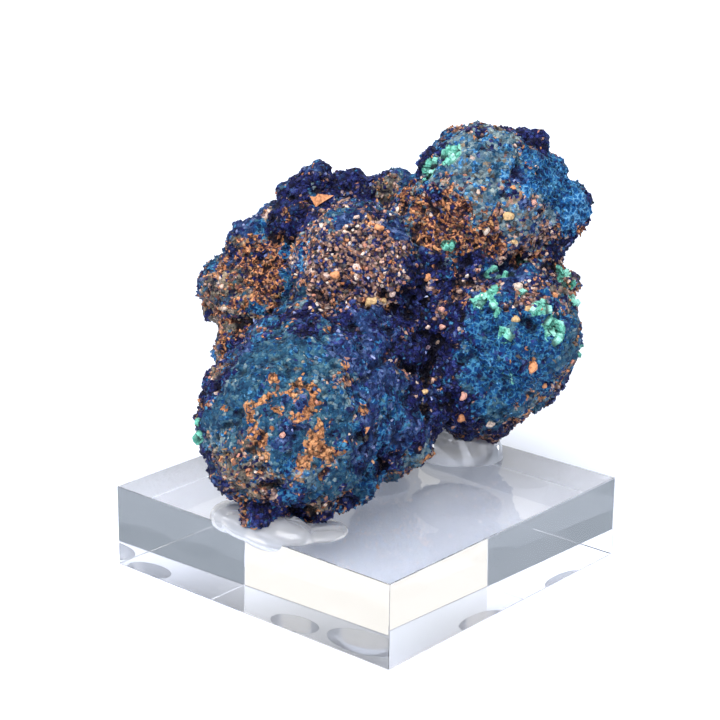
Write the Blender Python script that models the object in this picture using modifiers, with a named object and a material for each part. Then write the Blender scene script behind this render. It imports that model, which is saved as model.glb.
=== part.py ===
"""An azurite and malachite specimen, glued on a clear acrylic display block.

Frame: the constants are millimetres, Blender holds metres, +Z up. The origin is
the centre of the block's underside, and -Y is the block's front. The specimen is
one grown solid of round lumps. It stands on its lowest lumps, each set in a dab
of clear glue, and its largest lump leans out over the block's front edge.

The lumps are laid out as the specimen is displayed: corner on, from a little
above. Each has a place across to the right, up, and out towards the viewer.
"""

import math
from dataclasses import dataclass

import bmesh
import bpy
from mathutils import Matrix, Vector

MM = 0.001

# Driving dimensions, in millimetres.
BLOCK_SIDE = 50.8
BLOCK_HEIGHT = 12.0
BLOCK_EDGE_RADIUS = 0.4
CLEARANCE = 0.3

# The side on display: its turn from the block's front, and how far above it is seen.
DISPLAY_BEARING_DEG = 41.0
DISPLAY_TILT_DEG = 18.0

SPECIMEN_VOXEL = 0.5
KNOB_SPACING = 4.2
KNOB_HEIGHT = 1.6
GRAIN_SPACING = 2.0
GRAIN_HEIGHT = 0.6

GLUE_VOXEL = 0.35
SOCKET_VOXEL = 0.6
SOCKET_MARGIN = 0.6

# Proportions and counts that set how fine the meshes are.
KNOB_BASE_LEVEL = 0.62
SPHERE_DETAIL = 3
SPHERES_PER_LUMP = 7
CREASE_SMOOTHING = 3
KNOB_SMOOTHING = 1
GLUE_SMOOTHING = 4
BLOCK_EDGE_SEGMENTS = 3
SPECIMEN_TRIANGLES = 7400
GLUE_TRIANGLES = 560


@dataclass(frozen=True)
class Lump:
    """A round lump on a stalk that widens back into the core."""

    across: float
    up: float
    out: float
    radius: float
    stalk_radius: float
    stalk_start: float = 0.4


@dataclass(frozen=True)
class Blob:
    """A flattened drop of glue, as a centre and its three half widths."""

    centre: tuple[float, float, float]
    half_widths: tuple[float, float, float]


CORE = Lump(across=1.5, up=33.5, out=0.0, radius=12.5, stalk_radius=12.5)

LUMPS = {
    # The front, leaning out over the block's edge, and its feet.
    "front dome": Lump(-11.0, 20.0, 19.0, 12.3, 12.5, 0.3),
    "front shoulder": Lump(-3.5, 24.5, 11.0, 10.0, 10.5),
    "front side": Lump(1.5, 20.5, 10.0, 8.2, 9.5, 0.5),
    "front left foot": Lump(-14.5, 8.5, 22.5, 2.6, 6.0, 0.6),
    "front middle foot": Lump(-11.5, 10.0, 22.0, 2.5, 6.0, 0.6),
    "front right foot": Lump(-7.0, 9.5, 21.0, 3.0, 6.0, 0.6),
    "front side foot": Lump(-2.5, 11.5, 18.0, 2.7, 6.0, 0.6),
    "bottom": Lump(5.0, 17.5, 9.0, 4.3, 7.0),
    # The middle and the left.
    "centre dome": Lump(-2.0, 42.0, 9.0, 9.2, 9.0, 0.3),
    "left": Lump(-18.0, 38.5, -3.0, 6.5, 7.5, 0.3),
    "left low": Lump(-19.0, 31.0, -1.0, 4.0, 7.0),
    "left high": Lump(-17.0, 44.5, -4.0, 4.6, 7.0),
    "left top": Lump(-13.5, 48.5, -3.5, 3.2, 6.0),
    # The peak and the ridge that runs right from it.
    "peak": Lump(-9.0, 51.0, -0.5, 4.6, 6.5, 0.3),
    "peak knob": Lump(-8.5, 55.0, 0.0, 2.4, 4.0, 0.7),
    "second knob": Lump(-3.0, 54.5, -1.0, 2.2, 5.0, 0.7),
    "third knob": Lump(-1.0, 53.0, -1.5, 2.1, 4.5, 0.7),
    "ridge": Lump(3.5, 53.0, -4.0, 4.1, 7.0),
    # The upper right, with its flange and small knobs.
    "upper right dome": Lump(16.0, 52.0, 5.0, 10.3, 8.5, 0.3),
    "upper right outer": Lump(21.5, 51.5, 3.5, 8.0, 8.0),
    "flange": Lump(27.5, 51.0, 3.5, 4.2, 7.0),
    "flange high": Lump(26.0, 55.0, 3.5, 3.0, 6.0),
    "top knob": Lump(23.0, 60.0, 4.5, 1.8, 4.0, 0.8),
    "side knob": Lump(26.5, 45.5, 4.0, 2.0, 5.0, 0.8),
    "right knob": Lump(27.0, 40.0, 3.5, 2.7, 6.0, 0.6),
    # The lower right and its foot.
    "lower right dome": Lump(20.5, 32.5, 6.5, 9.6, 9.0, 0.3),
    "lower right inner": Lump(15.5, 27.5, 5.5, 8.8, 9.0, 0.3),
    "lower right middle": Lump(21.5, 27.5, 3.5, 6.0, 8.0),
    "right foot": Lump(16.0, 22.5, -4.0, 5.6, 7.0),
    # The back, out of sight from the display side.
    "back left foot": Lump(2.5, 24.0, -11.0, 5.5, 7.0),
    "back dome": Lump(3.5, 42.0, -12.5, 8.5, 9.0),
    "back right": Lump(16.0, 46.0, -7.5, 7.0, 8.0),
    "back low": Lump(17.5, 31.0, -7.0, 6.5, 8.0),
    "back left": Lump(-6.0, 34.5, -12.0, 6.5, 8.0),
    "back high": Lump(8.0, 50.5, -7.0, 5.2, 7.0),
    "left underside": Lump(-8.5, 25.0, -4.0, 6.5, 7.5),
}

GLUE_DABS = {
    "glue_front": (
        Blob((2.5, -22.5, 12.0), (7.2, 4.2, 2.8)),
        Blob((-4.5, -22.5, 12.0), (4.6, 3.6, 2.0)),
        Blob((-1.0, -24.4, 12.2), (5.4, 2.2, 2.2)),
        Blob((7.5, -18.5, 12.0), (4.0, 4.4, 1.5)),
    ),
    "glue_right": (
        Blob((1.5, 18.0, 12.0), (6.3, 6.3, 4.2)),
        Blob((4.5, 18.5, 12.0), (4.6, 4.8, 4.8)),
    ),
    "glue_back_left": (
        Blob((-10.2, 15.0, 12.0), (4.3, 4.6, 3.8)),
    ),
}


def clear_scene():
    """Remove every object that the scene starts with."""
    for scene_object in list(bpy.data.objects):
        bpy.data.objects.remove(scene_object, do_unlink=True)


def new_collection(name, hidden=False):
    """Return a new collection linked to the scene."""
    collection = bpy.data.collections.new(name)
    collection.hide_render = hidden
    bpy.context.scene.collection.children.link(collection)
    return collection


def new_material(name, colour, roughness, transmission=0.0, ior=1.5):
    """Return a Principled material in one plain colour."""
    material = bpy.data.materials.new(name)
    material.use_nodes = True
    shader = material.node_tree.nodes["Principled BSDF"]
    shader.inputs["Base Color"].default_value = (*colour, 1.0)
    shader.inputs["Roughness"].default_value = roughness
    shader.inputs["Transmission Weight"].default_value = transmission
    shader.inputs["IOR"].default_value = ior
    return material


def object_from_bmesh(name, shape, collection):
    """Turn a bmesh in millimetres into an object in metres."""
    bmesh.ops.scale(shape, vec=(MM, MM, MM), verts=shape.verts)
    mesh = bpy.data.meshes.new(name)
    shape.to_mesh(mesh)
    shape.free()
    made = bpy.data.objects.new(name, mesh)
    collection.objects.link(made)
    return made


def apply_modifiers(target):
    """Replace the object's mesh with its modified one."""
    graph = bpy.context.evaluated_depsgraph_get()
    mesh = bpy.data.meshes.new_from_object(target.evaluated_get(graph))
    target.modifiers.clear()
    target.data = mesh


def keep_largest_body(target):
    """Delete every loose body but the one with the most vertices."""
    shape = bmesh.new()
    shape.from_mesh(target.data)
    unseen = set(shape.verts)
    bodies = []
    while unseen:
        to_visit = [unseen.pop()]
        body = set(to_visit)
        while to_visit:
            vertex = to_visit.pop()
            for edge in vertex.link_edges:
                neighbour = edge.other_vert(vertex)
                if neighbour in unseen:
                    unseen.remove(neighbour)
                    body.add(neighbour)
                    to_visit.append(neighbour)
        bodies.append(body)
    bodies.sort(key=len)
    spare = [vertex for body in bodies[:-1] for vertex in body]
    bmesh.ops.delete(shape, geom=spare, context="VERTS")
    shape.to_mesh(target.data)
    shape.free()


def add_remesh(target, voxel):
    """Fuse the object's overlapping bodies into one skin."""
    remesh = target.modifiers.new("fuse", "REMESH")
    remesh.mode = "VOXEL"
    remesh.voxel_size = voxel * MM


def add_smooth(target, passes):
    """Soften the creases where lumps meet."""
    smooth = target.modifiers.new("soften", "SMOOTH")
    smooth.factor = 0.5
    smooth.iterations = passes


def add_knobs(target, name, spacing, height):
    """Raise round knobs all over the surface, with creases between them."""
    texture = bpy.data.textures.new(name, "VORONOI")
    texture.noise_scale = spacing * MM
    texture.distance_metric = "DISTANCE"
    knobs = target.modifiers.new(name, "DISPLACE")
    knobs.texture = texture
    knobs.texture_coords = "LOCAL"
    knobs.mid_level = KNOB_BASE_LEVEL
    knobs.strength = -height * MM


def add_decimate(target, triangles):
    """Thin the mesh out to about the given number of triangles."""
    target.data.calc_loop_triangles()
    decimate = target.modifiers.new("thin out", "DECIMATE")
    decimate.ratio = min(1.0, triangles / len(target.data.loop_triangles))
    decimate.use_collapse_triangulate = True


def add_cut(target, cutter):
    """Subtract the cutter from the object."""
    cut = target.modifiers.new("clear of " + cutter.name, "BOOLEAN")
    cut.operation = "DIFFERENCE"
    cut.solver = "EXACT"
    cut.use_self = True
    cut.object = cutter


def centre_of(lump):
    """Turn a lump's place on display into a point in the block's frame."""
    tilt = Matrix.Rotation(math.radians(-DISPLAY_TILT_DEG), 3, "X")
    turn = Matrix.Rotation(math.radians(DISPLAY_BEARING_DEG), 3, "Z")
    return turn @ tilt @ Vector((lump.across, -lump.out, lump.up))


def spheres_of_lump(lump):
    """List the spheres from a lump's stalk, inside the core, out to its tip."""
    core = centre_of(CORE)
    tip = centre_of(lump)
    spheres = []
    for step in range(SPHERES_PER_LUMP):
        along = step / (SPHERES_PER_LUMP - 1)
        reach = lump.stalk_start + (1.0 - lump.stalk_start) * along
        radius = lump.stalk_radius + (lump.radius - lump.stalk_radius) * along
        spheres.append((core.lerp(tip, reach), radius))
    return spheres


def build_specimen(collection):
    """Fuse the core and its lumps, then roughen and thin out the skin."""
    shape = bmesh.new()
    spheres = [(centre_of(CORE), CORE.radius)]
    for lump in LUMPS.values():
        spheres.extend(spheres_of_lump(lump))
    for centre, radius in spheres:
        bmesh.ops.create_icosphere(
            shape,
            subdivisions=SPHERE_DETAIL,
            radius=radius,
            matrix=Matrix.Translation(centre),
        )
    specimen = object_from_bmesh("azurite_specimen", shape, collection)
    add_remesh(specimen, SPECIMEN_VOXEL)
    apply_modifiers(specimen)
    keep_largest_body(specimen)
    add_smooth(specimen, CREASE_SMOOTHING)
    add_knobs(specimen, "knobs", KNOB_SPACING, KNOB_HEIGHT)
    add_knobs(specimen, "grains", GRAIN_SPACING, GRAIN_HEIGHT)
    add_smooth(specimen, KNOB_SMOOTHING)
    apply_modifiers(specimen)
    add_decimate(specimen, SPECIMEN_TRIANGLES)
    apply_modifiers(specimen)
    return specimen


def build_block(name, collection, margin=0.0, edge_radius=0.0):
    """Build the block, or a copy grown by a margin, with rounded edges."""
    shape = bmesh.new()
    side = BLOCK_SIDE + 2 * margin
    height = BLOCK_HEIGHT + 2 * margin
    place = Matrix.Translation((0.0, 0.0, BLOCK_HEIGHT / 2))
    stretch = Matrix.Diagonal((side, side, height, 1.0))
    bmesh.ops.create_cube(shape, size=1.0, matrix=place @ stretch)
    block = object_from_bmesh(name, shape, collection)
    if edge_radius:
        bevel = block.modifiers.new("rounded edges", "BEVEL")
        bevel.width = edge_radius * MM
        bevel.segments = BLOCK_EDGE_SEGMENTS
        bevel.limit_method = "ANGLE"
    return block


def build_grown_specimen(specimen, collection):
    """Copy the specimen and push its skin out, to cut sockets in the glue."""
    grown = specimen.copy()
    grown.data = specimen.data.copy()
    grown.name = "specimen_clearance"
    collection.objects.link(grown)
    push = grown.modifiers.new("push out", "DISPLACE")
    push.mid_level = 0.0
    push.strength = SOCKET_MARGIN * MM
    add_remesh(grown, SOCKET_VOXEL)
    apply_modifiers(grown)
    return grown


def build_glue_dab(name, blobs, cutters, collection):
    """Fuse the blobs into one drop, cut clear of the block and the specimen."""
    shape = bmesh.new()
    for blob in blobs:
        place = Matrix.Translation(blob.centre) @ Matrix.Diagonal((*blob.half_widths, 1.0))
        bmesh.ops.create_icosphere(shape, subdivisions=SPHERE_DETAIL, radius=1.0, matrix=place)
    dab = object_from_bmesh(name, shape, collection)
    add_remesh(dab, GLUE_VOXEL)
    add_smooth(dab, GLUE_SMOOTHING)
    for cutter in cutters:
        add_cut(dab, cutter)
    add_remesh(dab, GLUE_VOXEL)
    apply_modifiers(dab)
    keep_largest_body(dab)
    add_decimate(dab, GLUE_TRIANGLES)
    apply_modifiers(dab)
    return dab


def hide(helper):
    """Keep a cutter out of the model."""
    helper.hide_render = True
    helper.display_type = "WIRE"


def main():
    """Build the specimen, the block and the glue dabs."""
    clear_scene()
    pieces = new_collection("azurite_display")
    cutters = new_collection("cutters", hidden=True)

    block_room = build_block("block_clearance", cutters, margin=CLEARANCE)
    specimen = build_specimen(pieces)
    add_cut(specimen, block_room)
    apply_modifiers(specimen)
    specimen_room = build_grown_specimen(specimen, cutters)

    block = build_block("acrylic_block", pieces, edge_radius=BLOCK_EDGE_RADIUS)
    dabs = [
        build_glue_dab(name, blobs, (block_room, specimen_room), pieces)
        for name, blobs in GLUE_DABS.items()
    ]
    hide(block_room)
    hide(specimen_room)

    specimen.data.materials.append(new_material("azurite", (0.02, 0.06, 0.22), 0.65))
    block.data.materials.append(new_material("clear acrylic", (1.0, 1.0, 1.0), 0.02, 1.0, 1.49))
    glue = new_material("clear glue", (0.92, 0.93, 0.95), 0.1, 0.6, 1.47)
    for dab in dabs:
        dab.data.materials.append(glue)
        dab.data.shade_smooth()


main()
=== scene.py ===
"""The visible model of an azurite specimen that is glued on a clear acrylic block.

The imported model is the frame, in metres, with its origin at the centre of the block's
underside. Sizes here are in millimetres and are turned into metres as each mesh is made.
"""

from __future__ import annotations

import logging
import math
from collections.abc import Callable
from dataclasses import dataclass, field
from enum import Enum, IntEnum
from functools import partial
from itertools import product
from typing import Any, NamedTuple

import bmesh
import bpy
import numpy as np
from mathutils import Matrix, Vector

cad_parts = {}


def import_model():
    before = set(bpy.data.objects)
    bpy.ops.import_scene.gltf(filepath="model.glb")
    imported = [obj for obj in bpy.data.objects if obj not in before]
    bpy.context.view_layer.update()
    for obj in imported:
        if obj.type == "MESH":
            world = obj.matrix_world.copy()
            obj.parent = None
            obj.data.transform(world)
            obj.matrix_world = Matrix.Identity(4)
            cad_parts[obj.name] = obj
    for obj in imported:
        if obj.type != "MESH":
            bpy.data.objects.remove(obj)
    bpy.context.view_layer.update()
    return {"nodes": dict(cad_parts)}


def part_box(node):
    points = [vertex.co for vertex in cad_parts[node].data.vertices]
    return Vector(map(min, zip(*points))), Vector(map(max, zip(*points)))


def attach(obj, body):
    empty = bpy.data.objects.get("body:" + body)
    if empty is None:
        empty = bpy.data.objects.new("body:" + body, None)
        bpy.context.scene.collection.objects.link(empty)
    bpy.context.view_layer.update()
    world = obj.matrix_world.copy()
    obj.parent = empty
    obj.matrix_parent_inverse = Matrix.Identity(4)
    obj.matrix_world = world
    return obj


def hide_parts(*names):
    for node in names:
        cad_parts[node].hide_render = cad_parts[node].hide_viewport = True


LOG = logging.getLogger("azurite_display")
MM = 0.001
BODY = "root"
SIGHT_DISTANCE = 120.0

HASH_SHIFT = 1 << 20
HASH_X, HASH_Y, HASH_Z = np.uint64(73856093), np.uint64(19349663), np.uint64(83492791)
HASH_MIX, HASH_RANGE = np.uint64(0x5BD1E995), np.uint64(0xFFFFFFFF)
HASH_TURNS = (np.uint64(13), np.uint64(15), np.uint64(11))

KNOB_REACH, KNOB_FALL = 0.8, 1.6
RIDGE_STEEPNESS = 3.0
SPOT_RIM, SPOT_EDGE = 1.5, 0.9

Colour = tuple[float, float, float]
# Where a change starts and ends and, where it has four numbers, the values there.
Span = tuple[float, ...]
Socket = bpy.types.NodeSocket


class Seed(IntEnum):
    """The fixed seed of each random pattern, and the steps between a group's seeds."""

    LUMPS = 1
    TURNS = 3
    MEDIUM = 5
    WARP_STEP = 7
    SMALL = 9
    WARP = 11
    KIND_STEP = 13
    ROUGH = 15
    WINDING = 21
    UNEVEN = 31
    FOLDS = 33
    CRACKS = 41
    MALACHITE = 77
    BROAD = 101
    RAGGED = 301


def tone(red: int, green: int, blue: int) -> Colour:
    """Turn a screen colour into the linear colour that shaders use.

    Args:
        red: Red on screen, 0 to 255.
        green: Green on screen, 0 to 255.
        blue: Blue on screen, 0 to 255.

    Returns:
        The linear red, green and blue, 0 to 1.
    """
    linear = []
    for part in (red, green, blue):
        share = part / 255.0
        linear.append(share / 12.92 if share <= 0.04045 else ((share + 0.055) / 1.055) ** 2.4)
    return (linear[0], linear[1], linear[2])


class Canvas:
    """Adds nodes to one tree and wires them up."""

    def __init__(self, tree: bpy.types.NodeTree) -> None:
        """Keep the tree that the nodes go in."""
        self.tree = tree

    def feed(self, socket: Socket, value: Any) -> None:
        """Give an input socket a link or a fixed value.

        Args:
            socket: The input to set.
            value: Another node's output, or a number, vector or colour.
        """
        if isinstance(value, bpy.types.NodeSocket):
            self.tree.links.new(value, socket)
        elif socket.type == "RGBA" and len(value) == 3:
            socket.default_value = (*value, 1.0)
        else:
            socket.default_value = value

    def add(self, kind: str, inputs: dict[Any, Any] | None = None, **settings: Any) -> bpy.types.Node:
        """Add one node.

        Args:
            kind: The node's type name.
            inputs: Values or links, by input name or number.
            **settings: Properties to set on the node before its inputs.

        Returns:
            The new node.
        """
        node = self.tree.nodes.new(kind)
        for name, value in settings.items():
            setattr(node, name, value)
        for key, value in (inputs or {}).items():
            self.feed(node.inputs[key], value)
        return node

    def attribute(self, name: str) -> Socket:
        """Read one of the mesh's attributes."""
        return self.add("ShaderNodeAttribute", attribute_name=name).outputs["Fac"]

    def place(self) -> Socket:
        """Read the Object coordinates."""
        return self.add("ShaderNodeTexCoord").outputs["Object"]

    def calc(self, operation: str, first: Any, second: Any = 0.0) -> Socket:
        """Combine two numbers with a Math node."""
        return self.add("ShaderNodeMath", {0: first, 1: second}, operation=operation).outputs[0]

    def vector(self, operation: str, *inputs: Any) -> bpy.types.Node:
        """Combine vectors with a Vector Math node."""
        return self.add("ShaderNodeVectorMath", dict(enumerate(inputs)), operation=operation)

    def span(self, value: Any, low: float, high: float, to_low: float = 0.0, to_high: float = 1.0) -> Socket:
        """Stretch a number smoothly from one range, low to high, to another."""
        inputs = {"Value": value, "From Min": low, "From Max": high, "To Min": to_low, "To Max": to_high}
        return self.add("ShaderNodeMapRange", inputs, interpolation_type="SMOOTHSTEP").outputs[0]

    def blend(self, share: Any, first: Any, second: Any) -> Socket:
        """Lay a share, 0 to 1, of the second colour over the first."""
        inputs = {0: share, 6: first, 7: second}
        return self.add("ShaderNodeMix", inputs, data_type="RGBA").outputs[2]

    def total(self, *parts: tuple[Any, float]) -> Socket:
        """Add up numbers.

        Args:
            *parts: Each number or link, and its weight.

        Returns:
            Their weighted sum.
        """
        total: Any = 0.0
        for part, weight in parts:
            total = self.calc("ADD", total, self.calc("MULTIPLY", part, weight))
        return total

    def bump(self, shader: bpy.types.Node, height: Socket, strength: float, depth: float) -> None:
        """Bump a shader's surface by a height, as deep as so many millimetres."""
        node = self.add("ShaderNodeBump", {"Height": height, "Strength": strength, "Distance": depth * MM})
        self.feed(shader.inputs["Normal"], node.outputs[0])

    def ramp(self, amount: Socket, stops: list[tuple[float, Colour]]) -> Socket:
        """Turn a number into a colour.

        Args:
            amount: The number, 0 to 1.
            stops: Places along the ramp and their colours, in order.

        Returns:
            The colour.
        """
        node = self.add("ShaderNodeValToRGB", {0: amount})
        elements = node.color_ramp.elements
        for element, (position, colour) in zip(elements, (stops[0], stops[-1])):
            element.position = position
            element.color = (*colour, 1.0)
        for position, colour in stops[1:-1]:
            elements.new(position).color = (*colour, 1.0)
        return node.outputs[0]

    def noise(self, place: Any, size: float, detail: float = 3.0, roughness: float = 0.55) -> Socket:
        """Add a noise pattern, 0 to 1, with blotches of a size in millimetres."""
        inputs = {"Vector": place, "Scale": 1.0 / (size * MM), "Detail": detail, "Roughness": roughness}
        return self.add("ShaderNodeTexNoise", inputs).outputs["Fac"]

    def cells(self, place: Any, size: float, feature: str = "F1") -> bpy.types.Node:
        """Add a pattern of cells of a size in millimetres."""
        inputs = {"Vector": place, "Scale": 1.0 / (size * MM)}
        return self.add("ShaderNodeTexVoronoi", inputs, feature=feature)

    def stored(self, name: str, geometry: Socket, value: Socket, domain: str = "POINT") -> Socket:
        """Store a number on a geometry as a named attribute.

        Args:
            name: The attribute's name.
            geometry: The geometry that gets it.
            value: The number.
            domain: What has a number each, such as its points or its instances.

        Returns:
            The geometry with the attribute.
        """
        inputs = {"Geometry": geometry, "Name": name, "Value": value}
        settings = {"data_type": "FLOAT", "domain": domain}
        return self.add("GeometryNodeStoreNamedAttribute", inputs, **settings).outputs[0]

    def chance(self, kind: str, low: Any, high: Any, seed: Any) -> Socket:
        """Add a random number or vector for each point.

        Args:
            kind: The Random Value node's data type.
            low: The least value.
            high: The greatest value.
            seed: Chooses the draws.

        Returns:
            The random value.
        """
        node = self.add("FunctionNodeRandomValue", data_type=kind)
        used = {socket.name: socket for socket in node.inputs if socket.enabled}
        for name, value in (("Min", low), ("Max", high), ("Seed", seed)):
            self.feed(used[name], value)
        return next(socket for socket in node.outputs if socket.enabled)


def new_material(name: str) -> tuple[bpy.types.Material, Canvas, bpy.types.Node]:
    """Start a material with one Principled shader.

    Args:
        name: The material's name.

    Returns:
        The material, a canvas on its nodes, and its shader.
    """
    material = bpy.data.materials.new(name)
    material.use_nodes = True
    canvas = Canvas(material.node_tree)
    return material, canvas, material.node_tree.nodes["Principled BSDF"]


def put_in_scene(name: str, data: bpy.types.ID) -> bpy.types.Object:
    """Add an object to the scene.

    Args:
        name: The object's name.
        data: Its mesh, camera or light.

    Returns:
        The object.
    """
    added = bpy.data.objects.new(name, data)
    bpy.context.scene.collection.objects.link(added)
    return added


def finished(name: str, shape: bmesh.types.BMesh) -> bpy.types.Object:
    """Turn a shape into an object.

    Args:
        name: The object's name, and its mesh's.
        shape: The shape, which is freed.

    Returns:
        The object.
    """
    mesh = bpy.data.meshes.new(name)
    shape.to_mesh(mesh)
    shape.free()
    return put_in_scene(name, mesh)


def box_around(node: bpy.types.Object, name: str, inset: float = 0.0) -> bpy.types.Object:
    """Make a box to a frame node's size.

    Args:
        node: The frame node.
        name: The box's name.
        inset: How far inside the node's faces the box's faces lie, in millimetres.

    Returns:
        The box.
    """
    low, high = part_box(node.name)
    middle = (Vector(low) + Vector(high)) / 2
    sides = [top - bottom - 2 * inset * MM for bottom, top in zip(low, high)]
    shape = bmesh.new()
    place = Matrix.Translation(middle) @ Matrix.Diagonal((*sides, 1.0))
    bmesh.ops.create_cube(shape, size=1.0, matrix=place)
    return finished(name, shape)


def make_plain(piece: bpy.types.Object) -> bpy.types.Object:
    """Apply a piece's modifiers, Geometry Nodes among them.

    Args:
        piece: The object to make plain.

    Returns:
        The same object, with a plain mesh and no modifiers.
    """
    graph = bpy.context.evaluated_depsgraph_get()
    graph.update()
    mesh = bpy.data.meshes.new_from_object(piece.evaluated_get(graph))
    piece.modifiers.clear()
    old = piece.data
    piece.data = mesh
    bpy.data.meshes.remove(old)
    mesh.name = piece.name
    return piece


def dress(piece: bpy.types.Object, material: bpy.types.Material) -> None:
    """Give every face of a piece one material."""
    piece.data.materials.clear()
    piece.data.materials.append(material)


def settle(piece: bpy.types.Object, slot: str, *nodes: str) -> None:
    """Fix a finished piece to the object.

    Args:
        piece: The finished piece.
        slot: Not used.
        *nodes: The frame nodes that it stands for.
    """
    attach(piece, BODY)
    if nodes:
        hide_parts(*nodes)
    piece.data.calc_loop_triangles()
    LOG.info("%s: %d triangles", piece.name, len(piece.data.loop_triangles))


DISPLAY_BEARING_DEG = 41.0
DISPLAY_TILT_DEG = 18.0

Spots = tuple[tuple[float, float, float], ...]


class Mineral(Enum):
    """A mineral or crust on the rock, named as its attribute on the skin is."""

    INDIGO = "indigo"
    AZURE = "azure"
    SKY = "sky"
    STEEL = "steel"
    TEAL = "teal"
    MIST = "mist"
    EARTH = "earth"
    RUST = "rust"
    OCHRE = "ochre"
    PALE = "pale"
    MALACHITE = "malachite"


INDIGO, AZURE, SKY, STEEL, TEAL, MIST, EARTH, RUST, OCHRE, PALE, MALACHITE = Mineral


class Side(Enum):
    """The side of the specimen that a spot is placed from."""

    DISPLAY = 1.0
    BACK = -1.0


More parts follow.
